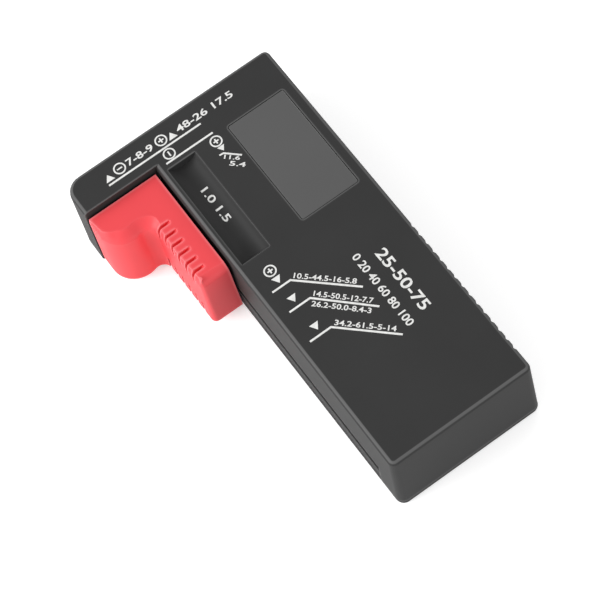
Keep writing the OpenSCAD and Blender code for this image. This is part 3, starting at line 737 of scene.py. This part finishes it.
class Surface:
    """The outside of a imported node, for laying ink on it.

    Attributes:
        ray_start_m: How far out the search for the surface starts, in metres.
        side: The side that is printed on.
    """

    ray_start_m: float = 0.1

    def __init__(self, node_name: str, side: Side) -> None:
        """Remember the node's shape.

        Args:
            node_name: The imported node.
            side: The side that is printed on.
        """
        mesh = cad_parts[node_name].data
        self._tree = BVHTree.FromPolygons([v.co for v in mesh.vertices],
                                          [tuple(p.vertices) for p in mesh.polygons])
        self.side = side

    def at(self, x: float, y: float, above: float) -> Vector:
        """Find a place on the surface, or a little above it.

        Args:
            x: Millimetres along X.
            y: Millimetres along Y.
            above: Millimetres outward from the surface.

        Returns:
            The place in metres.
        """
        outward = self.side.value
        origin = Vector((x * MM, y * MM, outward * self.ray_start_m))
        hit = self._tree.ray_cast(origin, Vector((0, 0, -outward)))[0]
        return Vector((x * MM, y * MM, hit.z + outward * above * MM))


@dataclass(frozen=True)
class NumberLine:
    """A line of plain numbers and the box that it fills, in millimetres.

    Attributes:
        digits: The numbers.
        start: Lower corner of the first digit, as it reads.
        end: Lower corner after the last digit.
        height: Height of the digits.
    """

    digits: str
    start: Point
    end: Point
    height: float


# Directions on the face, for arrows and for marks that read along the handle.
TO_HEAD: Point = (0, 1)
TO_NEAR_END: Point = (0, -1)


class InkSheet:
    """Collects flat shapes of one ink and turns them into a thin solid on a surface.

    Attributes:
        surface: What the ink lies on.
        bm: The shapes, flat and in millimetres until they are laid.
        film: Thickness of the ink over the surface, in millimetres.
        keyed: How far its underside lies in the surface.
        weight: How far a digit's outline is moved out, as a share of the type's size.
        curve_steps: Points on each curve of a digit.
        ring_steps: Points round a ring.
        arm_share: Length of a sign's arm over the radius of its ring.
        stroke_share: Width of a sign's line over the radius of its ring.
        joint_mm: Corners nearer than this become one.
    """

    film: float = 0.012
    keyed: float = 0.01
    weight: float = 0.018
    curve_steps: int = 3
    ring_steps: int = 28
    arm_share: float = 0.52
    stroke_share: float = 0.27
    joint_mm: float = 1e-4

    def __init__(self, surface: Surface) -> None:
        """Start an empty sheet.

        Args:
            surface: What the ink lies on.
        """
        self.surface = surface
        self.bm = bmesh.new()

    def polygon(self, points: list[Point]) -> None:
        """Add a filled shape.

        Args:
            points: Its outline in millimetres, in order.
        """
        self.bm.faces.new([self.bm.verts.new((x, y, 0)) for x, y in points])

    def bar(self, start: Point, end: Point, width: float) -> None:
        """Add a straight stroke with square ends.

        Args:
            start: Where its middle line starts.
            end: Where its middle line ends.
            width: Its width.
        """
        run = Vector(end) - Vector(start)
        across = Vector((-run.y, run.x)).normalized() * width / 2
        self.polygon([tuple(Vector(p) + s * across) for p, s in
                      ((start, -1), (end, -1), (end, 1), (start, 1))])

    def leader(self, points: list[Point], width: float) -> None:
        """Add a bent line with mitred corners.

        Args:
            points: The points of its middle line.
            width: Its width.
        """
        line = [Vector(p) for p in points]
        left, right = [], []
        for i, here in enumerate(line):
            before = (here - line[max(i - 1, 0)]).normalized()
            after = (line[min(i + 1, len(line) - 1)] - here).normalized()
            along = (before + after).normalized()
            across = Vector((-along.y, along.x))
            reference = before if before.length else after
            squareness = abs(across.dot(Vector((-reference.y, reference.x))))
            reach = width / 2 / squareness
            left.append(here + across * reach)
            right.append(here - across * reach)
        for i in range(len(line) - 1):
            self.polygon([tuple(p) for p in (right[i], right[i + 1], left[i + 1], left[i])])

    def ring(self, centre: Point, radius: float, width: float) -> None:
        """Add a ring.

        Args:
            centre: Its centre.
            radius: Radius of its middle line.
            width: Width of its line.
        """
        steps = self.ring_steps
        rims = [[(centre[0] + r * math.cos(2 * math.pi * i / steps),
                  centre[1] + r * math.sin(2 * math.pi * i / steps)) for i in range(steps)]
                for r in (radius - width / 2, radius + width / 2)]
        for i in range(steps):
            j = (i + 1) % steps
            self.polygon([rims[0][i], rims[1][i], rims[1][j], rims[0][j]])

    def terminal(self, centre: Point, radius: float, plus: bool,
                 reads: Point = (1, 0)) -> None:
        """Add a ringed plus or minus.

        Args:
            centre: Its centre.
            radius: The ring's radius.
            plus: True for a plus, False for a minus.
            reads: The direction that it reads along.
        """
        middle, along = Vector(centre), Vector(reads)
        across = Vector((-along.y, along.x))
        arm, width = radius * self.arm_share, radius * self.stroke_share
        self.ring(centre, radius, width)
        self.bar(tuple(middle - along * arm), tuple(middle + along * arm), width)
        if plus:
            for sign in (-1, 1):
                self.bar(tuple(middle + across * sign * width / 2),
                         tuple(middle + across * sign * arm), width)

    def triangle(self, centre: Point, base: float, height: float, toward: Point) -> None:
        """Add a filled triangle.

        Args:
            centre: Middle of its box.
            base: Length of its base.
            height: Its height.
            toward: The direction that its tip points in.
        """
        tip = Vector(toward).normalized()
        across = Vector((-tip.y, tip.x))
        middle = Vector(centre)
        self.polygon([tuple(middle + tip * height / 2),
                      tuple(middle - tip * height / 2 + across * base / 2),
                      tuple(middle - tip * height / 2 - across * base / 2)])

    def numbers(self, line: NumberLine) -> None:
        """Add a line of plain numbers, stretched to fill its box.

        Args:
            line: The numbers and their box.
        """
        curve = bpy.data.curves.new("digits", "FONT")
        curve.body = line.digits
        curve.resolution_u = self.curve_steps
        curve.offset = self.weight
        stand_in = bpy.data.objects.new("digits", curve)
        mesh = bpy.data.meshes.new_from_object(stand_in)
        low = Vector((min(v.co.x for v in mesh.vertices), min(v.co.y for v in mesh.vertices)))
        high = Vector((max(v.co.x for v in mesh.vertices), max(v.co.y for v in mesh.vertices)))
        start = Vector(line.start)
        run = Vector(line.end) - start
        along, up = run.normalized(), Vector((-run.y, run.x)).normalized()
        if self.surface.side is Side.BACK:
            up = -up
        wide, tall = run.length / (high.x - low.x), line.height / (high.y - low.y)
        placed = [self.bm.verts.new((*(start + along * (v.co.x - low.x) * wide
                                       + up * (v.co.y - low.y) * tall), 0))
                  for v in mesh.vertices]
        for polygon in mesh.polygons:
            self.bm.faces.new([placed[i] for i in polygon.vertices])
        bpy.data.objects.remove(stand_in)
        bpy.data.curves.remove(curve)
        bpy.data.meshes.remove(mesh)

    def lay(self, name: str, material: bpy.types.Material) -> None:
        """Turn the sheet into a thin solid that follows the surface and rides the case.

        Args:
            name: The piece's name.
            material: The ink.
        """
        bm = self.bm
        bmesh.ops.remove_doubles(bm, verts=bm.verts, dist=self.joint_mm)
        flat = list(bm.faces)
        for face in flat:
            face.normal_update()
            if face.normal.z * self.surface.side.value < 0:
                face.normal_flip()
        raised = bmesh.ops.extrude_face_region(bm, geom=flat)
        top = {v for v in raised["geom"] if isinstance(v, bmesh.types.BMVert)}
        for vert in bm.verts:
            above = self.film if vert in top else -self.keyed
            vert.co = self.surface.at(vert.co.x, vert.co.y, above)
        bmesh.ops.recalc_face_normals(bm, faces=bm.faces)
        piece = mesh_piece(name, bm, material)
        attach(piece, CASE_BODY)
        LOG.info("printed %s", name)


# ---------------------------------------------------------------- the tester's sub-assemblies


@dataclass
class Case(SubAssembly):
    """The two moulded shells."""

    dressings: tuple[Dressing, ...] = (
        Dressing("front_shell", CASE_PLASTIC, MOULDED),
        Dressing("back_cover", COVER_PLASTIC, MOULDED),
    )


@dataclass
class Display(SubAssembly):
    """The window over the display, the display, its holder and its contact strip."""

    dressings: tuple[Dressing, ...] = (
        Dressing("display_window", WINDOW_ACRYLIC, POLISHED),
        Dressing("display_glass", DISPLAY_GLASS, PRESSED),
        Dressing("display_holder", HOLDER_PLASTIC, PRESSED),
        Dressing("contact_strip", STRIP_RUBBER, PRESSED),
    )


@dataclass
class Electronics(SubAssembly):
    """The circuit board, the parts on it and the wires that run to it."""

    dressings: tuple[Dressing, ...] = (
        Dressing("circuit_board", BOARD_LAMINATE, PRESSED),
        Dressing("controller_blob", BLOB_EPOXY, ROUND),
        Dressing("chip_resistors", CHIP_GLASS, PRESSED),
        Dressing("chip_capacitors", CHIP_CERAMIC, PRESSED),
        Dressing("load_resistors", RESISTOR_LACQUER, TURNED),
        Dressing("rectifier_diodes", DIODE_EPOXY, TURNED),
        Dressing("storage_capacitor", SLEEVE_PVC, TURNED),
        Dressing("inductor_core", FERRITE, PRESSED),
        Dressing("inductor_winding", COPPER_WINDING, TURNED),
        Dressing("trimmer_body", TRIMMER_PLASTIC, PRESSED),
        Dressing("trimmer_rotor", HOLDER_PLASTIC, PRESSED),
        Dressing("board_screws", ZINC_STEEL, TURNED),
        Dressing("wire_cell_minus", WIRE_PVC_BLACK, ROUND),
        Dressing("wire_block_minus", WIRE_PVC_BLACK, ROUND),
        Dressing("wire_cell_plus", WIRE_PVC_RED, ROUND),
        Dressing("wire_block_plus", WIRE_PVC_RED, ROUND),
    )


@dataclass
class Contacts(SubAssembly):
    """The sheet metal that touches a cell, the rail along the slot and the wiper on it."""

    dressings: tuple[Dressing, ...] = (
        Dressing("cell_contact_head", NICKEL_STRIP, PRESSED),
        Dressing("block_contact_minus", NICKEL_STRIP, PRESSED),
        Dressing("block_contact_plus", NICKEL_STRIP, PRESSED),
        Dressing("cell_contact_slider", NICKEL_STRIP, PRESSED),
        Dressing("contact_rail", BRASS_STRIP, PRESSED),
        Dressing("wiper_spring", BRONZE_STRIP, PRESSED),
    )


@dataclass
class Slider(SubAssembly):
    """The red slider that presses a round cell against the head."""

    dressings: tuple[Dressing, ...] = (Dressing("slider", SLIDER_PLASTIC, HANDLED),)


@dataclass(frozen=True)
class Leader:
    """A bent line from the edge of the cell bay to the sizes printed along it.

    Attributes:
        points: The line's points.
        above: The numbers over the line.
        below: The numbers under the line, or none.
    """

    points: tuple[Point, Point, Point]
    above: str
    below: str = ""


@dataclass
class FaceMarks:
    """The white marks on the face: terminals, arrows, plain sizes and a scale.

    Places are millimetres in the row frame.

    Attributes:
        line: Width of a straight line.
        fine_line: Width of the line of the button cell group.
        ring: Radius of a terminal's ring.
        arrow_base: Base of an arrow.
        arrow_height: Height of an arrow.
        head_line: Ends of the line along the head.
        block_arrows: Arrows that point at the block's two terminals.
        block_minus: The block's minus terminal.
        block_plus: The block's plus terminal.
        block_numbers: Numbers between and beside the two.
        trough_line: Ends of the line over the trough.
        cell_minus: The round cell's minus terminal, which reads down the trough.
        cell_volts: Numbers down the trough.
        button_plus: The button cell's plus terminal.
        button_arrow: The arrow under it.
        button_arrow_size: Base and height of that arrow.
        button_leader: The bent line under the arrow.
        button_numbers: Numbers under that line.
        bay_plus: The round cell's plus terminal, beside the cell bay.
        bay_arrows: Arrows at the places where each size of cell ends.
        bay_leaders: Lines from those places, with the sizes along them.
        size_digit: Height of the digits along a leader.
        size_run_in: How far the digits start behind a leader's bend.
        size_run_out: How far they end before its tip.
        over_line: Gap between a leader and the digits over it.
        under_line: Gap between a leader and the digits under it.
        scales: The numbers that read down the handle.
    """

    line: float = 0.5
    fine_line: float = 0.45
    ring: float = 1.4
    arrow_base: float = 2.4
    arrow_height: float = 1.9
    head_line: tuple[Point, Point] = ((-20.8, 46.2), (5.8, 46.2))
    block_arrows: tuple[Point, Point] = ((-19.7, 48.0), (-1.5, 48.0))
    block_minus: Point = (-16.3, 48.5)
    block_plus: Point = (-4.3, 48.5)
    block_numbers: tuple[NumberLine, ...] = (
        NumberLine("7-8-9", (-14.2, 47.5), (-6.8, 47.5), 2.0),
        NumberLine("48-26 17.5", (0.2, 47.4), (16.3, 47.4), 2.0),
    )
    trough_line: tuple[Point, Point] = ((-6.8, 42.3), (6.7, 42.3))
    cell_minus: Point = (-4.7, 44.2)
    cell_volts: NumberLine = NumberLine("1.0 1.5", (-4.1, 32.3), (-4.1, 21.6), 2.0)
    button_plus: Point = (6.0, 39.8)
    button_arrow: Point = (6.1, 37.3)
    button_arrow_size: tuple[float, float] = (2.0, 1.5)
    button_leader: tuple[Point, Point, Point] = ((4.5, 36.1), (5.6, 36.0), (8.8, 32.8))
    button_numbers: tuple[NumberLine, ...] = (
        NumberLine("11.6", (4.8, 34.7), (7.6, 32.0), 1.12),
        NumberLine("5.4", (4.8, 32.4), (7.6, 29.6), 1.26),
    )
    bay_plus: Point = (-3.2, 3.4)
    bay_arrows: tuple[Point, ...] = ((-3.1, 0.4), (-3.0, -5.8), (-2.9, -14.8))
    bay_leaders: tuple[Leader, ...] = (
        Leader(((-5.9, -1.5), (-0.8, -1.5), (11.4, -13.4)), "10.5-44.5-16-5.8"),
        Leader(((-5.6, -8.1), (0.2, -8.1), (11.5, -19.8)), "14.5-50.5-12-7.7", "26.2-50.0-8.4-3"),
        Leader(((-6.1, -17.1), (-0.2, -17.1), (11.6, -28.8)), "34.2-61.5-5-14"),
    )
    size_digit: float = 1.4
    size_run_in: float = 0.6
    size_run_out: float = 1.6
    over_line: float = 0.3
    under_line: float = 0.35
    scales: tuple[NumberLine, ...] = (
        NumberLine("25-50-75", (18.3, -8.2), (18.3, -26.8), 3.0),
        NumberLine("0 20 40 60 80 100", (13.6, -5.6), (13.6, -28.0), 2.1),
    )

    def build(self, palette: Palette, surface: Surface) -> None:
        """Print every mark.

        Args:
            palette: Where materials come from.
            surface: The face.
        """
        ink = palette.of(PRINT_INK)
        for name, draw in (("print_block_row", self.block_row), ("print_cell_row", self.cell_row),
                           ("print_button_cell", self.button_cell),
                           ("print_trough", self.trough), ("print_bay_sizes", self.bay_sizes),
                           ("print_scale", self.scale)):
            sheet = InkSheet(surface)
            draw(sheet)
            sheet.lay(name, ink)

    def arrow(self, sheet: InkSheet, centre: Point, toward: Point) -> None:
        """Draw an arrow.

        Args:
            sheet: The sheet to draw on.
            centre: Its middle.
            toward: The direction that it points in.
        """
        sheet.triangle(centre, self.arrow_base, self.arrow_height, toward)

    def block_row(self, sheet: InkSheet) -> None:
        """Draw the row along the head for the block's two terminals.

        Args:
            sheet: The sheet to draw on.
        """
        sheet.bar(*self.head_line, self.line)
        for centre in self.block_arrows:
            self.arrow(sheet, centre, TO_HEAD)
        sheet.terminal(self.block_minus, self.ring, False)
        sheet.terminal(self.block_plus, self.ring, True)
        for numbers in self.block_numbers:
            sheet.numbers(numbers)

    def cell_row(self, sheet: InkSheet) -> None:
        """Draw the round cell's minus terminal and the line over the trough.

        Args:
            sheet: The sheet to draw on.
        """
        sheet.bar(*self.trough_line, self.line)
        sheet.terminal(self.cell_minus, self.ring, False, reads=TO_NEAR_END)

    def button_cell(self, sheet: InkSheet) -> None:
        """Draw the small group by the window, for button cells.

        Args:
            sheet: The sheet to draw on.
        """
        sheet.terminal(self.button_plus, self.ring, True)
        sheet.triangle(self.button_arrow, *self.button_arrow_size, TO_NEAR_END)
        sheet.leader(list(self.button_leader), self.fine_line)
        for numbers in self.button_numbers:
            sheet.numbers(numbers)

    def trough(self, sheet: InkSheet) -> None:
        """Print the round cell's voltages down the trough.

        Args:
            sheet: The sheet to draw on.
        """
        sheet.numbers(self.cell_volts)

    def bay_sizes(self, sheet: InkSheet) -> None:
        """Draw the arrows, the leaders and the plain sizes along the cell bay.

        Args:
            sheet: The sheet to draw on.
        """
        sheet.terminal(self.bay_plus, self.ring, True)
        for centre in self.bay_arrows:
            self.arrow(sheet, centre, TO_NEAR_END)
        for leader in self.bay_leaders:
            sheet.leader(list(leader.points), self.line)
            bend, tip = Vector(leader.points[1]), Vector(leader.points[2])
            along = (tip - bend).normalized()
            up = Vector((-along.y, along.x))
            over = up * (self.line / 2 + self.over_line)
            under = -up * (self.line / 2 + self.under_line + self.size_digit)
            first, last = bend + along * self.size_run_in, tip - along * self.size_run_out
            for digits, offset in ((leader.above, over), (leader.below, under)):
                if digits:
                    sheet.numbers(NumberLine(digits, tuple(first + offset), tuple(last + offset),
                                             self.size_digit))

    def scale(self, sheet: InkSheet) -> None:
        """Print the plain scales that read down the handle.

        Args:
            sheet: The sheet to draw on.
        """
        for numbers in self.scales:
            sheet.numbers(numbers)


@dataclass
class BackNumbers:
    """Plain numbers in the cells of the table moulded in the back.

    Attributes:
        left: The table's edge on the cell bay's side, in millimetres along X.
        right: Its other edge.
        low: Its near edge, in millimetres along Y.
        rows: Rows of even height.
        row_pitch: Their height.
        header: Height of the row over them.
        columns: Number of columns.
        digit: Height of the digits.
        line_pitch: Distance between a cell's two lines, over the digits' height.
        margin: Share of a cell that stays free at each end of a line.
        first: The first number.
        second_line: What a cell's second line adds to its number.
    """

    left: float = 2.7
    right: float = 20.1
    low: float = -21.7
    rows: int = 4
    row_pitch: float = 8.4
    header: float = 12.0
    columns: int = 4
    digit: float = 1.3
    line_pitch: float = 1.5
    margin: float = 0.14
    first: int = 10
    second_line: float = 30.5

    def build(self, palette: Palette, surface: Surface) -> None:
        """Print two lines in each cell.

        Args:
            palette: Where materials come from.
            surface: The back.
        """
        sheet = InkSheet(surface)
        pitch = (self.right - self.left) / self.columns
        for column in range(self.columns):
            for row in range(self.rows + 1):
                size = self.header if row == self.rows else self.row_pitch
                base = self.low + row * self.row_pitch
                free = size * self.margin
                middle = self.left + (column + 0.5) * pitch + self.digit / 2
                number = self.first + column * (self.rows + 1) + row
                step = self.digit * self.line_pitch
                for digits, x in ((f"{number}", middle - step / 2),
                                  (f"{number + self.second_line}", middle + step / 2)):
                    sheet.numbers(NumberLine(digits, (x, base + free), (x, base + size - free),
                                             self.digit))
        sheet.lay("print_back_table", palette.of(DARK_INK))


@dataclass
class ReturnSpring:
    """The long coil that pulls the slider back to the head, wound from round wire.

    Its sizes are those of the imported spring, in millimetres.

    Attributes:
        x: Its axis along X.
        z: Its axis along Z.
        peg_y: Middle of the loop round the slider's peg.
        post_y: Middle of the loop on the case's post.
        loop_r: Radius of both loops.
        lead: Distance between a loop and the first turn.
        turns: Number of turns.
        turn_r: Radius of a turn.
        wire_r: Radius of the wire.
        steps: Points on a turn.
        sides: Flats round the wire.
        loop_steps: Stretches in a loop.
        loop_deg: How far round a loop goes.
        peg_from_deg: Where the loop round the peg begins.
        post_from_deg: Where the loop on the post begins.
    """

    x: float = -3.7
    z: float = 8.2
    peg_y: float = 17.9
    post_y: float = 41.0
    loop_r: float = 1.36
    lead: float = 0.5
    turns: int = 26
    turn_r: float = 1.4
    wire_r: float = 0.2
    steps: int = 20
    sides: int = 8
    loop_steps: int = 22
    loop_deg: float = 330.0
    peg_from_deg: float = 205.0
    post_from_deg: float = 155.0

    def loop(self, middle_y: float, sign: int, start_deg: float) -> list[Vector]:
        """Work out the wire's middle line in a loop.

        Args:
            middle_y: The loop's middle.
            sign: 1 for the loop on the post, -1 for the one round the peg.
            start_deg: Where it begins.

        Returns:
            Its points in millimetres.
        """
        angles = (math.radians(start_deg + self.loop_deg * i / self.loop_steps)
                  for i in range(self.loop_steps + 1))
        return [Vector((self.x + self.loop_r * math.sin(a),
                        middle_y + sign * self.loop_r * math.cos(a), self.z)) for a in angles]

    def path(self) -> list[Vector]:
        """Work out the wire's middle line: a loop round the peg, the turns, a loop on the post.

        Returns:
            Its points in millimetres.
        """
        first_y = self.peg_y + self.loop_r + self.lead
        last_y = self.post_y - self.loop_r - self.lead
        count = self.turns * self.steps
        coil = []
        for i in range(count + 1):
            angle = 2 * math.pi * i / self.steps + math.pi / 2
            coil.append(Vector((self.x + self.turn_r * math.sin(angle),
                                first_y + (last_y - first_y) * i / count,
                                self.z + self.turn_r * math.cos(angle))))
        return [*self.loop(self.peg_y, -1, self.peg_from_deg), *coil,
                *self.loop(self.post_y, 1, self.post_from_deg)]

    def build(self, palette: Palette) -> None:
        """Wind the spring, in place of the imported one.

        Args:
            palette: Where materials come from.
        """
        bm = bmesh.new()
        sweep(bm, self.path(), self.wire_r, self.sides)
        piece = mesh_piece("wound_return_spring", bm, palette.of(SPRING_WIRE))
        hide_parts("return_spring")
        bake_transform(piece)
        LOG.info("wound %s", piece.name)


def sweep(bm: bmesh.types.BMesh, path: list[Vector], radius: float, sides: int) -> None:
    """Draw a round wire along a path, without twisting it.

    Args:
        bm: The mesh to draw in, in metres.
        path: The wire's middle line in millimetres.
        radius: The wire's radius in millimetres.
        sides: Number of flats round it.
    """
    normal = Vector((0, 0, 1))
    rings = []
    for i, here in enumerate(path):
        along = (path[min(i + 1, len(path) - 1)] - path[max(i - 1, 0)]).normalized()
        normal = (normal - along * normal.dot(along)).normalized()
        side = along.cross(normal)
        rings.append([bm.verts.new((here + radius * (math.cos(a) * normal + math.sin(a) * side))
                                   * MM) for a in (2 * math.pi * k / sides for k in range(sides))])
    for one, two in zip(rings, rings[1:]):
        for k in range(sides):
            j = (k + 1) % sides
            bm.faces.new((one[k], one[j], two[j], two[k])).smooth = True
    bm.faces.new(rings[0][::-1])
    bm.faces.new(rings[-1])
    bmesh.ops.recalc_face_normals(bm, faces=bm.faces)


# ---------------------------------------------------------------- studio


@dataclass(frozen=True)
class Softbox:
    """A soft light that is aimed at the tester.

    Attributes:
        name: The light's name.
        place: Where its middle hangs, in millimetres.
        wide: Its width, level with the floor.
        tall: Its height.
        watts: Its power.
    """

    name: str
    place: Place
    wide: float
    tall: float
    watts: float

    def hang(self, aim: Vector) -> None:
        """Put the light in the scene.

        Args:
            aim: What it is aimed at, in millimetres.
        """
        light = bpy.data.lights.new(self.name, "AREA")
        light.shape = "RECTANGLE"
        light.size, light.size_y = self.wide * MM, self.tall * MM
        light.energy = self.watts
        lamp = bpy.data.objects.new(self.name, light)
        place = Vector(self.place)
        lamp.location = place * MM
        lamp.rotation_mode = "QUATERNION"
        lamp.rotation_quaternion = (aim - place).to_track_quat("-Z", "Y")
        bpy.context.scene.collection.objects.link(lamp)
        LOG.info("hung %s", self.name)


@dataclass
class Studio:
    """A white floor, soft light from all round and a camera above the handle's near end.

    Lengths are millimetres in the row frame.

    Attributes:
        eye: Where the camera stands.
        forward: The direction that it was measured to look in.
        up: The direction that was up in its picture.
        aim: The point that the camera and the lights are turned to.
        lens_mm: The camera's focal length.
        sensor_mm: Width of its sensor.
        clip_m: Nearest and furthest distance that it sees, in metres.
        floor_side: Side of the floor.
        floor_gap: How far it lies under the back face.
        paper: The floor's sRGB colour.
        paper_roughness: Its roughness.
        paper_specular: Strength of its reflection.
        fibre: Size of its fibres, drawn coarser than paper's to show.
        fibre_depth: Their depth.
        floor_glow: How much brighter the floor looks than it lights.
        sky_level: Strength of the light from all round.
        softboxes: The lights.
    """

    eye: Place = (-75.1, -236.2, 515.6)
    forward: Place = (0.314, 0.438, -0.842)
    up: Place = (0.535, 0.651, 0.538)
    aim: Place = (0.0, -1.0, 11.0)
    lens_mm: float = 143.0
    sensor_mm: float = 36.0
    clip_m: tuple[float, float] = (0.01, 20.0)
    floor_side: float = 4000.0
    floor_gap: float = 0.03
    paper: str = "#f1f1f1"
    paper_roughness: float = 0.8
    paper_specular: float = 0.2
    fibre: float = 2.5
    fibre_depth: float = 0.01
    floor_glow: float = 0.5
    sky_level: float = 0.55
    softboxes: tuple[Softbox, ...] = (
        Softbox("key_softbox", (-640.0, 190.0, 345.0), 480.0, 300.0, 4.6),
        Softbox("front_softbox", (150.0, -650.0, 300.0), 360.0, 160.0, 1.3),
        Softbox("back_softbox", (440.0, 480.0, 290.0), 520.0, 160.0, 0.5),
    )

    def build(self) -> None:
        """Set up the floor, the light and the camera."""
        self.floor()
        self.sky()
        for softbox in self.softboxes:
            softbox.hang(Vector(self.aim))
        self.camera()
        bpy.context.scene.view_settings.view_transform = "Standard"
        LOG.info("set up the studio")

    def floor(self) -> None:
        """Lay the floor under the case."""
        half, low = self.floor_side / 2 * MM, -self.floor_gap * MM
        mesh = bpy.data.meshes.new("floor")
        mesh.from_pydata([(-half, -half, low), (half, -half, low), (half, half, low),
                          (-half, half, low)], [], [(0, 1, 2, 3)])
        mesh.materials.append(self.floor_paper())
        plate = bpy.data.objects.new("floor", mesh)
        bpy.context.scene.collection.objects.link(plate)

    def floor_paper(self) -> bpy.types.Material:
        """Make the floor's material: white paper that keeps the case's faint shadow.

        It is solid from above only, so that the back can be looked at and lit from below.

        Returns:
            The material.
        """
        material = bpy.data.materials.new("white_paper_floor")
        material.use_nodes = True
        tree = material.node_tree
        tree.nodes.clear()
        place = add_node(tree, "ShaderNodeTexCoord").outputs["Object"]
        fibre = add_node(tree, "ShaderNodeTexNoise",
                         {"Scale": 1 / (self.fibre * MM), "Detail": 3.0}, {"Vector": place})
        bump = add_node(tree, "ShaderNodeBump", {"Distance": self.fibre_depth * MM},
                        {"Height": fibre.outputs["Fac"]})
        paper = add_node(tree, "ShaderNodeBsdfPrincipled",
                         {"Base Color": srgb(self.paper), "Roughness": self.paper_roughness,
                          "Specular IOR Level": self.paper_specular},
                         {"Normal": bump.outputs["Normal"]})
        rays = add_node(tree, "ShaderNodeLightPath")
        strength = add_node(tree, "ShaderNodeMath",
                            {"operation": "MULTIPLY", 1: self.floor_glow},
                            {0: self.seen(tree, rays)})
        glow = add_node(tree, "ShaderNodeEmission", {"Color": srgb("#ffffff")},
                        {"Strength": strength.outputs["Value"]})
        lit = add_node(tree, "ShaderNodeAddShader", {},
                       {0: paper.outputs["BSDF"], 1: glow.outputs["Emission"]})
        from_back_face = add_node(tree, "ShaderNodeMath",
                                  {"operation": "LESS_THAN", 1: 3 * self.floor_gap * MM},
                                  {0: rays.outputs["Ray Length"]})
        side = add_node(tree, "ShaderNodeNewGeometry")
        through = add_node(tree, "ShaderNodeMath", {"operation": "MAXIMUM"},
                           {0: from_back_face.outputs["Value"], 1: side.outputs["Backfacing"]})
        clear = add_node(tree, "ShaderNodeBsdfTransparent")
        shown = add_node(tree, "ShaderNodeMixShader", {},
                         {0: through.outputs["Value"], 1: lit.outputs["Shader"],
                          2: clear.outputs["BSDF"]})
        add_node(tree, "ShaderNodeOutputMaterial", {}, {"Surface": shown.outputs["Shader"]})
        return material

    @staticmethod
    def seen(tree: bpy.types.NodeTree, rays: bpy.types.Node) -> bpy.types.NodeSocket:
        """Tell the rays that look at the background from those that only carry light.

        Args:
            tree: Where the nodes go.
            rays: Its Light Path node.

        Returns:
            1 for camera, glossy and transmission rays, 0 for the others.
        """
        seen = rays.outputs["Is Camera Ray"]
        for kind in ("Is Glossy Ray", "Is Transmission Ray"):
            seen = add_node(tree, "ShaderNodeMath", {"operation": "MAXIMUM"},
                            {0: seen, 1: rays.outputs[kind]}).outputs["Value"]
        return seen

    def sky(self) -> None:
        """Light the scene evenly from all round, with white wherever that is seen."""
        world = bpy.data.worlds.new("white_surround")
        world.use_nodes = True
        tree = world.node_tree
        tree.nodes.clear()
        level = add_node(tree, "ShaderNodeMath",
                         {"operation": "MULTIPLY_ADD", 1: 1 - self.sky_level,
                          2: self.sky_level},
                         {0: self.seen(tree, add_node(tree, "ShaderNodeLightPath"))})
        light = add_node(tree, "ShaderNodeBackground", {"Color": srgb("#ffffff")},
                         {"Strength": level.outputs["Value"]})
        add_node(tree, "ShaderNodeOutputWorld", {}, {"Surface": light.outputs["Background"]})
        bpy.context.scene.world = world

    def camera(self) -> None:
        """Place the camera, turned from its measured direction to put the tester in the middle."""
        data = bpy.data.cameras.new("camera")
        data.lens = self.lens_mm
        data.sensor_width = self.sensor_mm
        data.clip_start, data.clip_end = self.clip_m
        eye = bpy.data.objects.new("camera", data)
        place, forward, up = Vector(self.eye), Vector(self.forward), Vector(self.up)
        turn = forward.rotation_difference((Vector(self.aim) - place).normalized())
        forward, up = turn @ forward, turn @ up
        right = forward.cross(up).normalized()
        up = right.cross(forward).normalized()
        axes = Matrix((right, up, -forward.normalized())).transposed()
        eye.matrix_world = Matrix.Translation(place * MM) @ axes.to_4x4()
        bpy.context.scene.collection.objects.link(eye)
        bpy.context.scene.camera = eye


def main() -> None:
    """Build the tester's sub-assemblies in order, then the studio."""
    logging.basicConfig(level=logging.INFO, format="%(name)s: %(message)s")
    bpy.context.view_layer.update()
    palette = Palette()
    Case().build(palette)
    Display().build(palette)
    Electronics().build(palette)
    Contacts().build(palette)
    Slider().build(palette)
    ReturnSpring().build(palette)
    FaceMarks().build(palette, Surface("front_shell", Side.FACE))
    BackNumbers().build(palette, Surface("back_cover", Side.BACK))
    Studio().build()


if __name__ == "__main__":
    main()
